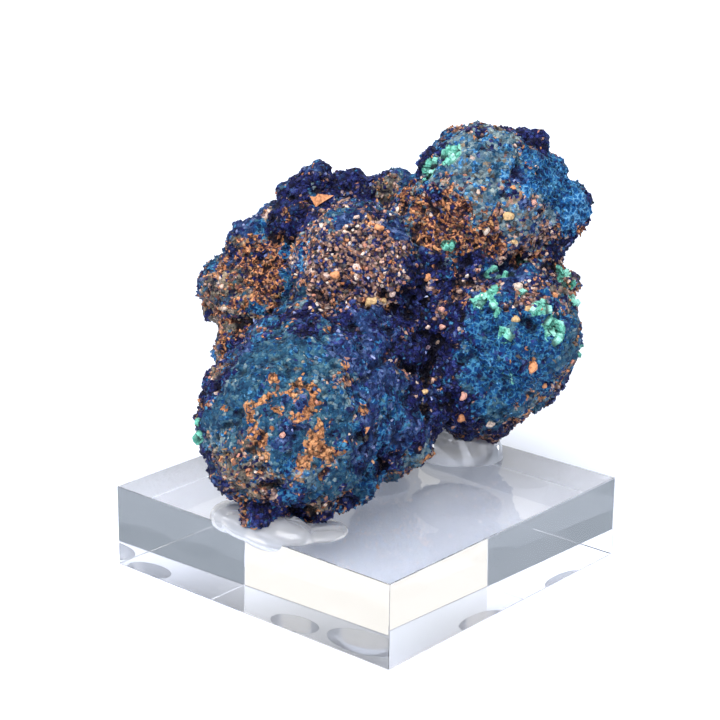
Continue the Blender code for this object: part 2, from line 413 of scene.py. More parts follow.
# Where each mineral grows on the display side: spots as millimetres across, millimetres
# up and radius. Indigo azurite fills most of what the spots leave.
DISPLAY_GROWTH: dict[str, dict[Mineral, Spots]] = {
    "front dome": {
        TEAL: (
            (-15, 28.5, 4), (-11.5, 30.5, 3.5), (-6, 28, 2.5), (-20, 21.5, 2.5), (-3.5, 20.5, 1.2),
            (-10, 26.8, 1), (-17.5, 23.5, 1.2), (-12.8, 20.5, 0.8), (-5, 21.5, 1), (-12.5, 15.5, 1.2),
        ),
        MIST: ((-19.8, 17.8, 1.6), (-3.5, 24, 1.2), (-18, 25.5, 1), (-12.5, 16.5, 0.8), (-7.5, 13.5, 1.2)),
        EARTH: (
            (-18, 12.5, 2.5), (-15.5, 14.5, 2), (-21, 19, 1), (-7, 9, 1.6), (-14.5, 12.5, 1),
            (-20, 15, 1.5),
        ),
        OCHRE: (
            (-12.2, 25.7, 1), (-9.5, 25.6, 1.5), (-7.2, 24.8, 1.5), (-6.6, 22.8, 1.2), (-12.3, 22.2, 1.1),
            (-10, 21.8, 1), (-15, 22.3, 1.4), (-15.3, 20, 1.5), (-14.4, 17.6, 1.8), (-8, 18.2, 1.4),
            (-6.1, 19, 1.1), (-8.5, 16, 1.3), (-5.6, 16.4, 1.6), (-19.3, 22.5, 0.9), (-3.3, 27.3, 0.8),
            (-1.4, 22.6, 0.8), (-8, 21.9, 0.9), (-13.5, 24, 0.8), (-12.8, 19.2, 0.7),
        ),
        STEEL: (
            (-11.3, 23.8, 1), (-8.9, 23.3, 1.1), (-11, 20.3, 1.2), (-17, 20.8, 1), (-10.9, 17.9, 1.6),
            (-8.8, 20.2, 0.8), (-0.5, 16.5, 2), (-16.5, 30, 1.2),
        ),
        AZURE: (
            (-10.6, 15.3, 0.9), (-13.8, 25.3, 0.7), (-10.8, 10.3, 1.2), (-0.5, 13, 2), (-3, 17.5, 1),
            (-2, 20, 1),
        ),
        INDIGO: ((-12.8, 12.3, 0.9), (-14.2, 7.8, 2), (1, 15, 1.5), (-3.5, 12.3, 0.9), (-2.8, 9.3, 1.2)),
        PALE: ((-13.7, 10.6, 1.1), (-4.3, 11, 1.2)),
        RUST: ((-17, 8.5, 1), (-5.5, 13.5, 0.8)),
    },
    "front side": {
        STEEL: ((-3, 30, 3), (2, 26.5, 3.5), (4, 20, 3), (-0.5, 21.5, 2)),
        AZURE: ((2.5, 23.5, 2), (2, 18.5, 1.2), (-1, 16, 1)),
        INDIGO: ((-9, 32.5, 2), (-3.5, 33, 1.5), (7, 24, 2), (2.5, 15, 2), (7, 18, 1.5), (5.5, 28.5, 1)),
        MIST: ((6.5, 15.5, 2.2), (8, 16.8, 1.2)),
        TEAL: ((-1.5, 10.5, 1.2), (3, 12.5, 1)),
    },
    "centre dome": {
        PALE: (
            (-5, 41.5, 4.5), (0.5, 40, 4.5), (-0.5, 45.5, 3.5), (3.5, 44, 2.5), (-7, 36.8, 1.6),
            (-4, 36, 1.4), (-1.5, 37, 1),
        ),
        STEEL: ((3.5, 47, 2), (-3, 48, 1.5)),
        AZURE: ((-11.5, 45, 1.5), (-11.5, 40, 1.5)),
        INDIGO: ((-10, 47.5, 1.5), (-10, 35, 2), (5.5, 42, 1.5), (4, 35, 1.5)),
    },
    "left lobes": {
        STEEL: ((-17.8, 48.7, 1.6), (-16, 50, 1.2), (-18.5, 43.5, 0.8)),
        RUST: (
            (-17, 45.8, 1.6), (-14.3, 42.5, 1.5), (-13.2, 46.5, 1.5), (-18.5, 39.5, 1.5), (-15.5, 40.5, 1),
            (-17.5, 33, 1.5), (-12, 49.5, 1.2), (-21.5, 31, 1.5), (-22, 35.5, 1.2), (-17.5, 36.5, 1),
        ),
        OCHRE: ((-14, 43, 0.7), (-16.8, 38.8, 0.8), (-14.8, 41.2, 0.5)),
        EARTH: (
            (-23, 36.5, 1.6), (-21, 33.5, 1.5), (-22.5, 40, 1.5), (-21, 27, 1.5), (-21.5, 44, 1.5),
            (-19.5, 46.5, 1), (-20, 42, 1.5), (-14.5, 49.8, 1), (-20.5, 38, 1.5), (-19.5, 35, 1.5),
        ),
        AZURE: ((-15.8, 36.5, 1.3), (-13.2, 35.5, 1), (-11.5, 41, 0.8)),
        INDIGO: ((-19, 30.3, 1.6), (-21.5, 25, 1.5), (-16, 44.2, 0.6), (-15.2, 35, 1), (-23.8, 34.8, 0.7)),
    },
    "peak and ridge": {
        INDIGO: ((-9.5, 54.5, 2), (-5, 52.5, 2), (-1, 53, 1.5), (-8.5, 49, 2), (-12, 52.5, 1.5)),
        STEEL: ((-8.5, 56.5, 1.5), (-3.5, 55, 1), (-11, 50.5, 1)),
        RUST: ((5, 52.5, 1.5), (-9.5, 51.5, 1), (-12, 50, 1)),
        TEAL: ((2.5, 55.5, 1), (-8, 53, 0.8)),
        EARTH: ((2.5, 54, 2),),
        PALE: ((-4, 50.5, 1.5), (-6.5, 50, 1), (4.5, 50.5, 1.5), (1, 50.5, 1.5), (-9, 53, 0.8)),
    },
    "saddle": {
        RUST: (
            (7.5, 50.5, 2), (10.5, 48.5, 1.5), (13, 46, 1.5), (16.5, 45, 1.5), (20.5, 44, 1.5),
            (11.5, 52.5, 1),
        ),
        INDIGO: ((9, 52, 1.5), (9, 42.5, 2), (14.5, 42.5, 1.5), (8, 55, 1)),
    },
    "upper right dome": {
        MIST: (
            (13, 53, 2.8), (15.5, 50, 2.2), (13.5, 58.8, 2.2), (18.5, 60, 1.8), (13, 56, 1.8),
            (16.5, 57, 1.2), (20, 57.5, 0.8), (19.8, 48.3, 1), (23, 45.2, 0.9), (24.8, 49, 1),
        ),
        TEAL: ((17.2, 55.3, 0.9), (17.5, 51.2, 1)),
        SKY: ((18.8, 55.5, 1.3), (22, 57.5, 1.5), (21.5, 53, 1.2), (17, 59, 0.9)),
        EARTH: ((18, 61.5, 1.2), (20.5, 51.5, 1), (11, 54, 1), (14.5, 51.5, 1)),
        INDIGO: ((23, 60.5, 1.5), (24.3, 54.8, 0.9), (28, 45, 1.6), (10, 58.5, 1)),
        STEEL: ((20.5, 54.5, 0.9), (21.5, 50, 1.2), (22.5, 48, 1)),
        PALE: (
            (12, 62, 1), (20.5, 47, 1.8), (24, 46.5, 1.8), (22, 43.5, 1.5), (18.5, 44, 1), (19, 49.5, 1),
        ),
    },
    "flange": {
        SKY: ((28, 55.5, 2), (29.5, 51.5, 2.2), (27.8, 48, 1.8), (26.5, 52, 1.5), (27, 57, 1)),
    },
    "lower right dome": {
        AZURE: ((16, 32, 3), (19, 28.5, 3), (15, 28, 2), (24.5, 25.5, 1.5), (24.5, 31, 1.5), (16, 22.5, 2)),
        SKY: ((13.5, 33.5, 1), (16.5, 29, 1), (17.5, 25.5, 1)),
        TEAL: ((28.5, 33, 1.2), (26.5, 29.5, 1.5), (19, 21.5, 1.5), (24.5, 22.5, 1.5), (14.5, 25, 1)),
        INDIGO: (
            (22, 34, 1), (13.5, 19, 2.5), (17.5, 19, 1.5), (12, 25, 1.5), (11, 30.5, 1.5), (21.5, 28, 0.8),
        ),
        PALE: ((14, 40.5, 1.5), (17.5, 40, 2), (22.5, 38, 2), (24.5, 39.5, 1.3), (19.5, 36.5, 1)),
        EARTH: ((27.8, 36, 1.6), (29, 31.5, 1.5), (27.5, 27, 1.8), (25.8, 38.8, 1.2), (16, 39, 0.8)),
        STEEL: ((14.5, 38, 1), (26.5, 33.5, 1)),
    },
    "valley": {
        INDIGO: ((6.5, 38, 2), (9.5, 34.5, 2), (7, 31, 2), (10, 28, 1.5), (4.5, 34.5, 1.5)),
        PALE: ((8.5, 39.5, 1.5), (10, 36, 1), (10, 33.5, 0.8), (8, 33.5, 0.8), (12, 37.5, 1.5)),
        STEEL: ((5.5, 37, 1), (9.5, 24, 1.5)),
    },
    "malachite": {
        MALACHITE: (
            (11, 58, 1.6), (8, 55.5, 1.5), (11, 45, 0.9), (17, 41.5, 0.9), (17, 38.5, 1.1),
            (15.5, 37, 1.3), (17.5, 36.5, 1.1), (21.5, 38.5, 1), (23.5, 36, 1.3), (25, 34, 1.2),
            (25.5, 32.5, 1.3), (18.5, 32.5, 1), (19, 26.5, 1), (28, 41, 1.5), (28.5, 37.5, 0.9),
            (30, 30.5, 0.9), (-23, 19.5, 2), (19, 40.5, 0.8), (21.5, 43, 0.9),
        ),
    },
}

# Broad, thinner growth under the spots, placed the same way.
DISPLAY_WASHES: dict[Mineral, Spots] = {
    TEAL: ((-12, 22, 9), (28.5, 32, 4), (18, 21, 4), (-5, 12, 4)),
    MIST: ((14, 55, 6.5), (21, 49, 4)),
    EARTH: ((-17, 14, 5), (-21, 37, 6)),
    STEEL: ((2, 24, 6.5), (20, 41, 4.5), (0, 33, 4)),
    PALE: ((-1, 42.5, 7.5), (22, 47, 4.5)),
    RUST: ((-17, 41, 5), (12, 48, 6), (-19, 32, 4)),
    INDIGO: ((-5, 53, 6.5), (-12, 51, 4), (7.5, 32, 5.5), (13, 21, 4.5), (-2, 33.5, 3.5)),
    AZURE: ((20, 30, 8), (25.5, 54.5, 6), (3, 20, 4)),
    SKY: ((28.5, 52, 5),),
}
WASH_STRENGTH = 0.7

BACK_GROWTH: dict[Mineral, Spots] = {
    AZURE: ((16, 46, 4), (18, 30, 3.5), (-6, 36, 3)),
    SKY: ((26, 50, 2.5), (14, 47, 1.5)),
    MIST: ((5, 45, 2), (-14, 33, 1.5)),
    TEAL: ((4, 44, 4.5), (20, 53, 3.5), (-15, 32, 2.5)),
    EARTH: ((9, 50, 3), (-12, 41, 3), (6, 27, 2.5)),
    RUST: ((10, 38, 3), (-2, 41, 2), (22, 40, 2.5), (-18, 38, 2)),
    PALE: ((-8, 30, 3.5), (12, 28, 2.5), (0, 49, 2.5)),
    STEEL: ((4, 36, 3), (-16, 45, 2.5)),
    MALACHITE: ((12, 42, 1.5), (-4, 32, 1), (20, 34, 1)),
}


class Habit(NamedTuple):
    """How a mineral grows on the skin.

    It is more or less ready to turn up where no spot is near, it strays over its borders,
    and its texture is the height of each pattern in it, in millimetres.
    """

    readiness: float
    straying: float
    texture: dict[str, float]
    lift: float = 0.0


HABITS: dict[Mineral, Habit] = {
    INDIGO: Habit(0.62, 0.4, {"medium": 0.9, "small": 0.5, "rough": 0.15}),
    AZURE: Habit(0.42, 0.42, {"medium": 0.55, "small": 0.25, "winding": 0.45}),
    SKY: Habit(0.2, 0.36, {"medium": 0.5, "small": 0.25, "winding": 0.45}, 0.1),
    STEEL: Habit(0.36, 0.4, {"folds": 1.2, "small": 0.3, "rough": 0.15}, -0.1),
    TEAL: Habit(0.38, 0.42, {"medium": 0.45, "small": 0.45, "rough": 0.25}, 0.15),
    MIST: Habit(0.2, 0.4, {"medium": 0.3, "small": 0.4, "rough": 0.25}, 0.35),
    EARTH: Habit(0.3, 0.36, {"medium": 0.5, "small": 0.55, "rough": 0.25}),
    RUST: Habit(0.3, 0.28, {"medium": 0.25, "winding": 0.6, "rough": 0.2}, 0.1),
    OCHRE: Habit(0.1, 0.3, {"medium": 0.35, "small": 0.5, "rough": 0.3}, 0.25),
    PALE: Habit(0.32, 0.22, {"medium": 0.45, "small": 0.5, "rough": 0.1}),
}

# What grows in each mineral's patches: mostly itself, with grains of the others.
RECIPES: dict[Mineral, dict[Mineral, float]] = {
    INDIGO: {INDIGO: 0.87, STEEL: 0.07, AZURE: 0.03, RUST: 0.006, PALE: 0.02},
    AZURE: {AZURE: 0.84, INDIGO: 0.06, TEAL: 0.1},
    SKY: {SKY: 0.84, AZURE: 0.12, TEAL: 0.04},
    STEEL: {STEEL: 0.74, INDIGO: 0.16, AZURE: 0.1},
    TEAL: {TEAL: 0.84, AZURE: 0.08, MIST: 0.08},
    MIST: {MIST: 0.66, TEAL: 0.16, SKY: 0.1, EARTH: 0.08},
    EARTH: {EARTH: 0.54, TEAL: 0.1, RUST: 0.12, INDIGO: 0.14, PALE: 0.1},
    RUST: {RUST: 0.66, INDIGO: 0.14, EARTH: 0.08, PALE: 0.04, STEEL: 0.08},
    OCHRE: {OCHRE: 0.92, RUST: 0.04, STEEL: 0.04},
    PALE: {PALE: 0.42, INDIGO: 0.3, STEEL: 0.14, RUST: 0.08, EARTH: 0.08},
}


class Crack(NamedTuple):
    """A crack between two places across and up, with its half width and depth."""

    start: tuple[float, float]
    end: tuple[float, float]
    half_width: float
    depth: float


CRACKS = (
    Crack((-1.5, 18.5), (1.5, 14), 0.8, 1.6),
    Crack((9.5, 32), (7.5, 25.5), 0.6, 1.2),
    Crack((5.5, 38.5), (5.5, 36.5), 0.8, 1.5),
    Crack((21.5, 34.5), (22, 33), 0.7, 1.6),
    Crack((-14.5, 12.5), (-11.5, 12.5), 0.4, 0.9),
    Crack((13, 20), (12.5, 17.5), 0.7, 1.2),
    Crack((1.5, 38), (2.5, 36), 0.6, 1.2),
    Crack((-10, 9), (-8, 8), 0.9, 2.5),
    Crack((3.5, 35.8), (5.5, 34.8), 0.7, 1.5),
    Crack((4, 28.4), (5.8, 27.4), 0.6, 1.4),
    Crack((-1, 13.8), (0.5, 13.2), 0.6, 1.4),
    Crack((7.8, 22), (8.5, 18), 0.6, 1.2),
)


def display_axes() -> tuple[np.ndarray, np.ndarray, np.ndarray]:
    """Work out the display frame's directions.

    Returns:
        The directions across, up and out.
    """
    turn = math.radians(DISPLAY_BEARING_DEG)
    tilt = math.radians(DISPLAY_TILT_DEG)
    across = np.array((math.cos(turn), math.sin(turn), 0.0))
    out = np.array((math.sin(turn) * math.cos(tilt), -math.cos(turn) * math.cos(tilt), math.sin(tilt)))
    return across, np.cross(out, across), out


def scattered(cells: np.ndarray, seed: int) -> np.ndarray:
    """Give each whole-number cell its own random number, the same each run.

    Args:
        cells: Whole numbers, three to a cell.
        seed: Chooses one of many such patterns.

    Returns:
        One number for each cell, 0 to 1.
    """
    whole = (cells.astype(np.int64) + HASH_SHIFT).astype(np.uint64)
    mixed = whole[..., 0] * HASH_X ^ whole[..., 1] * HASH_Y ^ whole[..., 2] * HASH_Z
    mixed ^= np.uint64(seed) * HASH_MIX
    mixed &= HASH_RANGE
    for shift in HASH_TURNS:
        mixed = (mixed ^ mixed >> shift) * HASH_MIX & HASH_RANGE
    return (mixed ^ mixed >> HASH_TURNS[0]).astype(np.float64) / float(HASH_RANGE)


def smooth_noise(points: np.ndarray, size: float, seed: int) -> np.ndarray:
    """Blend random numbers from the corners of a lattice.

    Args:
        points: Places, in millimetres.
        size: The width of a blotch, in millimetres.
        seed: Chooses the pattern.

    Returns:
        The noise at each point, -1 to 1.
    """
    scaled = points / size
    base = np.floor(scaled)
    part = scaled - base
    part = part * part * (3.0 - 2.0 * part)
    total = np.zeros(len(points))
    for corner in product((0, 1), repeat=3):
        share = np.prod(np.where(corner, part, 1.0 - part), axis=1)
        total += share * scattered(base + corner, seed)
    return 2.0 * total - 1.0


def layered_noise(points: np.ndarray, size: float, seed: int, layers: int = 3) -> np.ndarray:
    """Add finer and fainter layers of smooth noise.

    Args:
        points: Places, in millimetres.
        size: The width of the widest blotches, in millimetres.
        seed: Chooses the pattern.
        layers: How many layers there are.

    Returns:
        The noise at each point, about -1 to 1.
    """
    total = np.zeros(len(points))
    for layer in range(layers):
        total += smooth_noise(points, size / 2**layer, seed + layer) / 2**layer
    return total


def knobs(points: np.ndarray, size: float, seed: int) -> np.ndarray:
    """Raise a round knob around each of many scattered centres.

    Args:
        points: Places, in millimetres.
        size: The spacing of the centres, in millimetres.
        seed: Chooses the pattern.

    Returns:
        The height at each point, 1 on a knob's top and about 0 in the creases.
    """
    scaled = points / size
    base = np.floor(scaled)
    nearest = np.full(len(points), np.inf)
    for step in product((-1, 0, 1), repeat=3):
        cell = base + step
        centre = np.stack([scattered(cell, seed + axis) for axis in range(3)], axis=1)
        nearest = np.minimum(nearest, np.linalg.norm(cell + centre - scaled, axis=1))
    return 1.0 - np.minimum(nearest, KNOB_REACH) ** 2 * KNOB_FALL


def ridges(points: np.ndarray, size: float, seed: int) -> np.ndarray:
    """Raise thin winding ridges, 1 on a crest and about 0 between them."""
    return 1.0 - np.minimum(np.abs(smooth_noise(points, size, seed)) * RIDGE_STEEPNESS, 1.0)


# Each texture's pattern, its width in millimetres and its seed.
TEXTURES: dict[str, tuple[Callable[..., np.ndarray], float, Seed]] = {
    "medium": (knobs, 2.1, Seed.MEDIUM),
    "small": (knobs, 1.05, Seed.SMALL),
    "rough": (partial(layered_noise, layers=2), 0.9, Seed.ROUGH),
    "folds": (knobs, 3.0, Seed.FOLDS),
    "winding": (ridges, 1.1, Seed.WINDING),
}


class Placed(NamedTuple):
    """A spot of one mineral, at its place on the skin."""

    kind: Mineral
    centre: np.ndarray
    radius: float


@dataclass
class Skin:
    """The rock's rough skin, with what grows on each of its points. Sizes are in millimetres."""

    weld_gap: float = 0.001
    voxel: float = 0.375
    lump_size: float = 4.3
    lump_height: float = 0.8
    border_warp: float = 1.1
    warp_size: float = 2.6
    sharpness: float = 11.0
    broad_size: float = 8.0
    broad_share: float = 0.55
    ragged_size: float = 1.7
    green_warp: float = 0.35
    green_size: float = 0.9
    green_gaps: float = -0.25
    crack_wave: float = 0.5
    crack_wave_size: float = 1.6
    crack_rim: float = 1.6
    crack_facing: float = 3.0
    near_passes: int = 6
    wide_passes: int = 44
    fine_hollows: float = 1.6
    piece: bpy.types.Object = field(init=False)
    points: np.ndarray = field(init=False)
    spots: list[Placed] = field(init=False, default_factory=list)
    washes: list[Placed] = field(init=False, default_factory=list)
    weights: dict[Mineral, np.ndarray] = field(init=False, default_factory=dict)

    def build(self, node: bpy.types.Object) -> None:
        """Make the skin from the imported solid.

        Args:
            node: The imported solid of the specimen.
        """
        self.piece = self.fused_copy(node)
        mesh = self.piece.data
        self.points = self.read(mesh.vertices, "co", 3) / MM
        for growth in DISPLAY_GROWTH.values():
            self.find_spots(growth, Side.DISPLAY, self.spots)
        self.find_spots(BACK_GROWTH, Side.BACK, self.spots)
        self.find_spots(DISPLAY_WASHES, Side.DISPLAY, self.washes)
        self.grow_minerals()
        self.raise_relief()
        self.cut_cracks()
        hollows = self.hollows()
        mesh.vertices.foreach_set("co", (self.points * MM).astype(np.float32).ravel())
        mesh.update()
        for kind, share in self.makeup().items():
            self.store(mesh, kind.value, share)
        # The hollow depth, which the finishes use to paint shade in hollows.
        self.store(mesh, "hollow", hollows)
        mesh.shade_smooth()

    def fused_copy(self, node: bpy.types.Object) -> bpy.types.Object:
        """Copy the solid, soften its facets and remesh it finely.

        Args:
            node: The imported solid.

        Returns:
            The remeshed copy.
        """
        shape = bmesh.new()
        shape.from_mesh(node.data)
        bmesh.ops.remove_doubles(shape, verts=shape.verts, dist=self.weld_gap * MM)
        piece = finished("rock_skin", shape)
        rounder = piece.modifiers.new("round", "SUBSURF")
        rounder.levels = rounder.render_levels = 1
        fuse = piece.modifiers.new("fuse", "REMESH")
        fuse.mode = "VOXEL"
        fuse.voxel_size = self.voxel * MM
        return make_plain(piece)

    @staticmethod
    def read(items: Any, name: str, width: int, kind: type = np.float32) -> np.ndarray:
        """Read one property of many mesh items.

        Args:
            items: The mesh's vertices or edges.
            name: The property.
            width: How many numbers each item has.
            kind: The numbers' type in the mesh.

        Returns:
            One row for each item.
        """
        values = np.empty(len(items) * width, kind)
        items.foreach_get(name, values)
        return values.reshape(-1, width).astype(np.float64 if kind is np.float32 else np.int64)

    @staticmethod
    def store(mesh: bpy.types.Mesh, name: str, values: np.ndarray) -> None:
        """Keep a number for each point as an attribute."""
        layer = mesh.attributes.new(name, "FLOAT", "POINT")
        layer.data.foreach_set("value", values.astype(np.float32))

    def surface_point(self, across: float, up: float, side: Side) -> np.ndarray | None:
        """Find where a sight line meets the skin.

        Args:
            across: The line's place across, in millimetres.
            up: The line's place up, in millimetres.
            side: The side that the line comes from.

        Returns:
            The point, in millimetres, or None where the line misses.
        """
        right, above, out = display_axes()
        start = right * across + above * up + out * side.value * SIGHT_DISTANCE
        hit, place, _, _ = self.piece.ray_cast(Vector(start * MM), Vector(-out * side.value))
        return np.array(place) / MM if hit else None

    def find_spots(self, growth: dict[Mineral, Spots], side: Side, found: list[Placed]) -> None:
        """Drop spots onto the skin from one side.

        Args:
            growth: The spots of each mineral.
            side: The side that they are placed from.
            found: The list that the placed spots go on.
        """
        for kind, spots in growth.items():
            for across, up, radius in spots:
                place = self.surface_point(across, up, side)
                if place is None:
                    LOG.info("no skin under the %s spot at %s, %s", kind.value, across, up)
                else:
                    found.append(Placed(kind, place, radius))

    @staticmethod
    def nearness(kind: Mineral, placed: list[Placed], places: np.ndarray) -> np.ndarray:
        """Say how well each place is covered by one mineral's spots.

        Args:
            kind: The mineral.
            placed: The spots of all minerals.
            places: The places, in millimetres.

        Returns:
            The cover at each place, 0 to 1.
        """
        best = np.zeros(len(places))
        for spot in placed:
            if spot.kind is kind:
                reach = np.linalg.norm(places - spot.centre, axis=1) / spot.radius
                best = np.maximum(best, np.clip((SPOT_RIM - reach) / SPOT_EDGE, 0.0, 1.0))
        return best

    def grow_minerals(self) -> None:
        """Weigh the minerals at each point, with ragged borders between them."""
        seeds = (Seed.WARP + axis * Seed.WARP_STEP for axis in range(3))
        layers = [layered_noise(self.points, self.warp_size, seed) for seed in seeds]
        warp = np.stack(layers, axis=1)
        places = self.points + warp * self.border_warp
        spotted = np.stack([self.nearness(kind, self.spots, places) for kind in HABITS])
        washed = np.stack([self.nearness(kind, self.washes, places) for kind in HABITS])
        bare = 1.0 - np.maximum(spotted.max(axis=0), washed.max(axis=0))
        scores = []
        for number, habit in enumerate(HABITS.values()):
            step = number * Seed.KIND_STEP
            broad = layered_noise(places, self.broad_size, Seed.BROAD + step)
            ragged = layered_noise(self.points, self.ragged_size, Seed.RAGGED + step)
            known = np.maximum(spotted[number], WASH_STRENGTH * washed[number])
            wild = bare * (habit.readiness + self.broad_share * broad)
            scores.append(known + wild + habit.straying * ragged)
        lifted = np.exp(self.sharpness * (np.stack(scores) - np.max(scores, axis=0)))
        lifted /= lifted.sum(axis=0)
        self.weights = dict(zip(HABITS, lifted))
        green = self.nearness(MALACHITE, self.spots, self.points + self.green_warp * warp)
        patchy = smooth_noise(self.points, self.green_size, Seed.MALACHITE) > self.green_gaps
        self.weights[MALACHITE] = green * patchy

    def makeup(self) -> dict[Mineral, np.ndarray]:
        """Mix the minerals' recipes at each point.

        Returns:
            Each mineral's share at each point.
        """
        shares = {kind: np.zeros(len(self.points)) for kind in HABITS}
        for zone, recipe in RECIPES.items():
            for kind, share in recipe.items():
                shares[kind] += share * self.weights[zone]
        shares[MALACHITE] = self.weights[MALACHITE]
        return shares

    def raise_relief(self) -> None:
        """Push the skin out and in: round lumps, then each mineral's own texture."""
        normals = self.read(self.piece.data.vertices, "normal", 3)
        layers = {name: pattern(self.points, size, seed) for name, (pattern, size, seed) in TEXTURES.items()}
        height = self.lump_height * knobs(self.points, self.lump_size, Seed.LUMPS)
        for kind, habit in HABITS.items():
            texture = sum(share * layers[name] for name, share in habit.texture.items())
            height += self.weights[kind] * (texture + habit.lift)
        height -= height.mean()
        self.points = self.points + normals * height[:, None]

    def cut_cracks(self) -> None:
        """Sink the cracks and holes between the lumps."""
        right, above, out = display_axes()
        flat = np.stack([self.points @ right, self.points @ above], axis=1)
        waves = [smooth_noise(self.points, self.crack_wave_size, Seed.CRACKS + turn) for turn in (0, 2)]
        wavy = flat + self.crack_wave * np.stack(waves, axis=1)
        normals = self.read(self.piece.data.vertices, "normal", 3)
        facing = np.clip(normals @ out * self.crack_facing, 0.0, 1.0)
        for crack in CRACKS:
            start = np.array(crack.start)
            run = np.array(crack.end) - start
            along = np.clip((wavy - start) @ run / (run @ run), 0.0, 1.0)
            gap = np.linalg.norm(wavy - start - along[:, None] * run, axis=1) / crack.half_width
            sunk = crack.depth * np.clip(self.crack_rim - gap, 0.0, 1.0) * facing
            self.points = self.points - out * sunk[:, None]

    @staticmethod
    def relaxed(points: np.ndarray, edges: np.ndarray, passes: int) -> np.ndarray:
        """Average each point with its neighbours.

        Args:
            points: The points.
            edges: The two points of each edge.
            passes: How many times to average.

        Returns:
            The averaged points.
        """
        count = len(points)
        share = 1.0 / np.bincount(edges.ravel(), minlength=count)
        for _ in range(passes):
            pulled = np.empty_like(points)
            for axis in range(3):
                there = np.bincount(edges[:, 0], points[edges[:, 1], axis], count)
                back = np.bincount(edges[:, 1], points[edges[:, 0], axis], count)
                pulled[:, axis] = (there + back) * share
            points = 0.5 * (points + pulled)
        return points

    def hollows(self) -> np.ndarray:
        """Measure how deep each point lies under the skin around it.

        Returns:
            Each point's depth, in millimetres, with narrow hollows counted more.
        """
        mesh = self.piece.data
        edges = self.read(mesh.edges, "vertices", 2, np.int32)
        normals = self.read(mesh.vertices, "normal", 3)
        near = self.relaxed(self.points, edges, self.near_passes)
        wide = self.relaxed(near, edges, self.wide_passes)
        fine = ((near - self.points) * normals).sum(axis=1)
        broad = ((wide - near) * normals).sum(axis=1)
        return self.fine_hollows * fine + broad


@dataclass(frozen=True)
class Pigment:
    """A mineral's shades on the skin, from dark to light, and how strongly it is veined."""

    kind: Mineral
    dark: Colour
    middle: Colour
    light: Colour
    veined: float = 0.0


PIGMENTS = (
    Pigment(INDIGO, tone(9, 7, 32), tone(20, 24, 78), tone(54, 66, 132)),
    Pigment(TEAL, tone(12, 40, 70), tone(31, 76, 105), tone(80, 115, 126)),
    Pigment(MIST, tone(54, 82, 102), tone(96, 120, 132), tone(154, 166, 162)),
    Pigment(EARTH, tone(46, 44, 50), tone(102, 96, 86), tone(168, 148, 124)),
    Pigment(STEEL, tone(12, 22, 58), tone(34, 58, 104), tone(96, 116, 160)),
    Pigment(AZURE, tone(6, 32, 78), tone(12, 72, 126), tone(64, 126, 162), 0.5),
    Pigment(SKY, tone(12, 60, 112), tone(32, 104, 162), tone(104, 164, 204), 0.5),
    Pigment(PALE, tone(96, 66, 60), tone(172, 132, 114), tone(234, 212, 198)),
    Pigment(RUST, tone(54, 32, 50), tone(152, 94, 64), tone(220, 152, 106), 0.8),
    Pigment(OCHRE, tone(136, 86, 58), tone(196, 134, 88), tone(228, 172, 124)),
)
GREEN = Pigment(MALACHITE, tone(62, 140, 120), tone(118, 200, 178), tone(176, 234, 216))
# Near-black, used for random dark blotches on loose grains and for painted shade in hollows, in the gaps
# between grains and at the crystals' feet.
DIRT_AND_PAINTED_SHADE = tone(8, 6, 20)
SHADE_STOPS = (0.2, 0.52, 0.85)
SMOOTH_CRUSTS = (TEAL, MIST, AZURE, SKY, EARTH, STEEL)


@dataclass(frozen=True)
class GrainFinish:
    """The finish of loose grains: each grain has one of a few shades, with painted shade where the skin is
    hollow.
    """

    name: str
    shades: tuple[Colour, ...]
    roughness: float = 0.5
    specular: float = 0.25
    mottle_size: float = 0.4
    mottle_range: Span = (0.3, 0.7)
    dirt: Span = (0.45, 0.7, 0.0, 0.55)
    # Painted shade: how far grains are darkened where the skin is hollow.
    painted_hollow_shade: Span = (0.25, 1.0, 0.0, 0.8)
    smoother: float = 0.15
    rougher: float = 0.2
    bump_strength: float = 0.4
    bump_depth: float = 0.1

    def material(self) -> bpy.types.Material:
        """Make the material.

        Returns:
            The material.
        """
        material, canvas, shader = new_material(self.name)
        steps = len(self.shades) - 1
        stops = [(number / steps, shade) for number, shade in enumerate(self.shades)]
        clean = canvas.ramp(canvas.attribute("tint"), stops)
        mottle = canvas.noise(canvas.place(), self.mottle_size)
        dirty = canvas.blend(canvas.span(mottle, *self.dirt), clean, DIRT_AND_PAINTED_SHADE)
        # Painted shade: grains on hollow places are darkened towards near-black.
        sunk = canvas.span(canvas.attribute("hollow"), *self.painted_hollow_shade)
        canvas.feed(shader.inputs["Base Color"], canvas.blend(sunk, dirty, DIRT_AND_PAINTED_SHADE))
        ends = (self.roughness - self.smoother, self.roughness + self.rougher)
        gloss = canvas.span(mottle, *self.mottle_range, *ends)
        canvas.feed(shader.inputs["Roughness"], gloss)
        shader.inputs["Specular IOR Level"].default_value = self.specular
        canvas.bump(shader, mottle, self.bump_strength, self.bump_depth)
        return material


PALE_GRAINS = GrainFinish(
    "pale_grains",
    (tone(96, 66, 60), tone(150, 112, 88), tone(190, 128, 108), tone(206, 172, 152), tone(242, 228, 214)),
)
RUST_GRAINS = GrainFinish(
    "rust_grains",
    (tone(70, 40, 40), tone(126, 78, 50), tone(178, 112, 70), tone(156, 116, 72), tone(206, 144, 100)),
    0.65,
)
BRIGHT_FACETS = GrainFinish(
    "bright_facets", (tone(40, 52, 100), tone(92, 104, 156), tone(150, 160, 205)), 0.2, 0.9
)


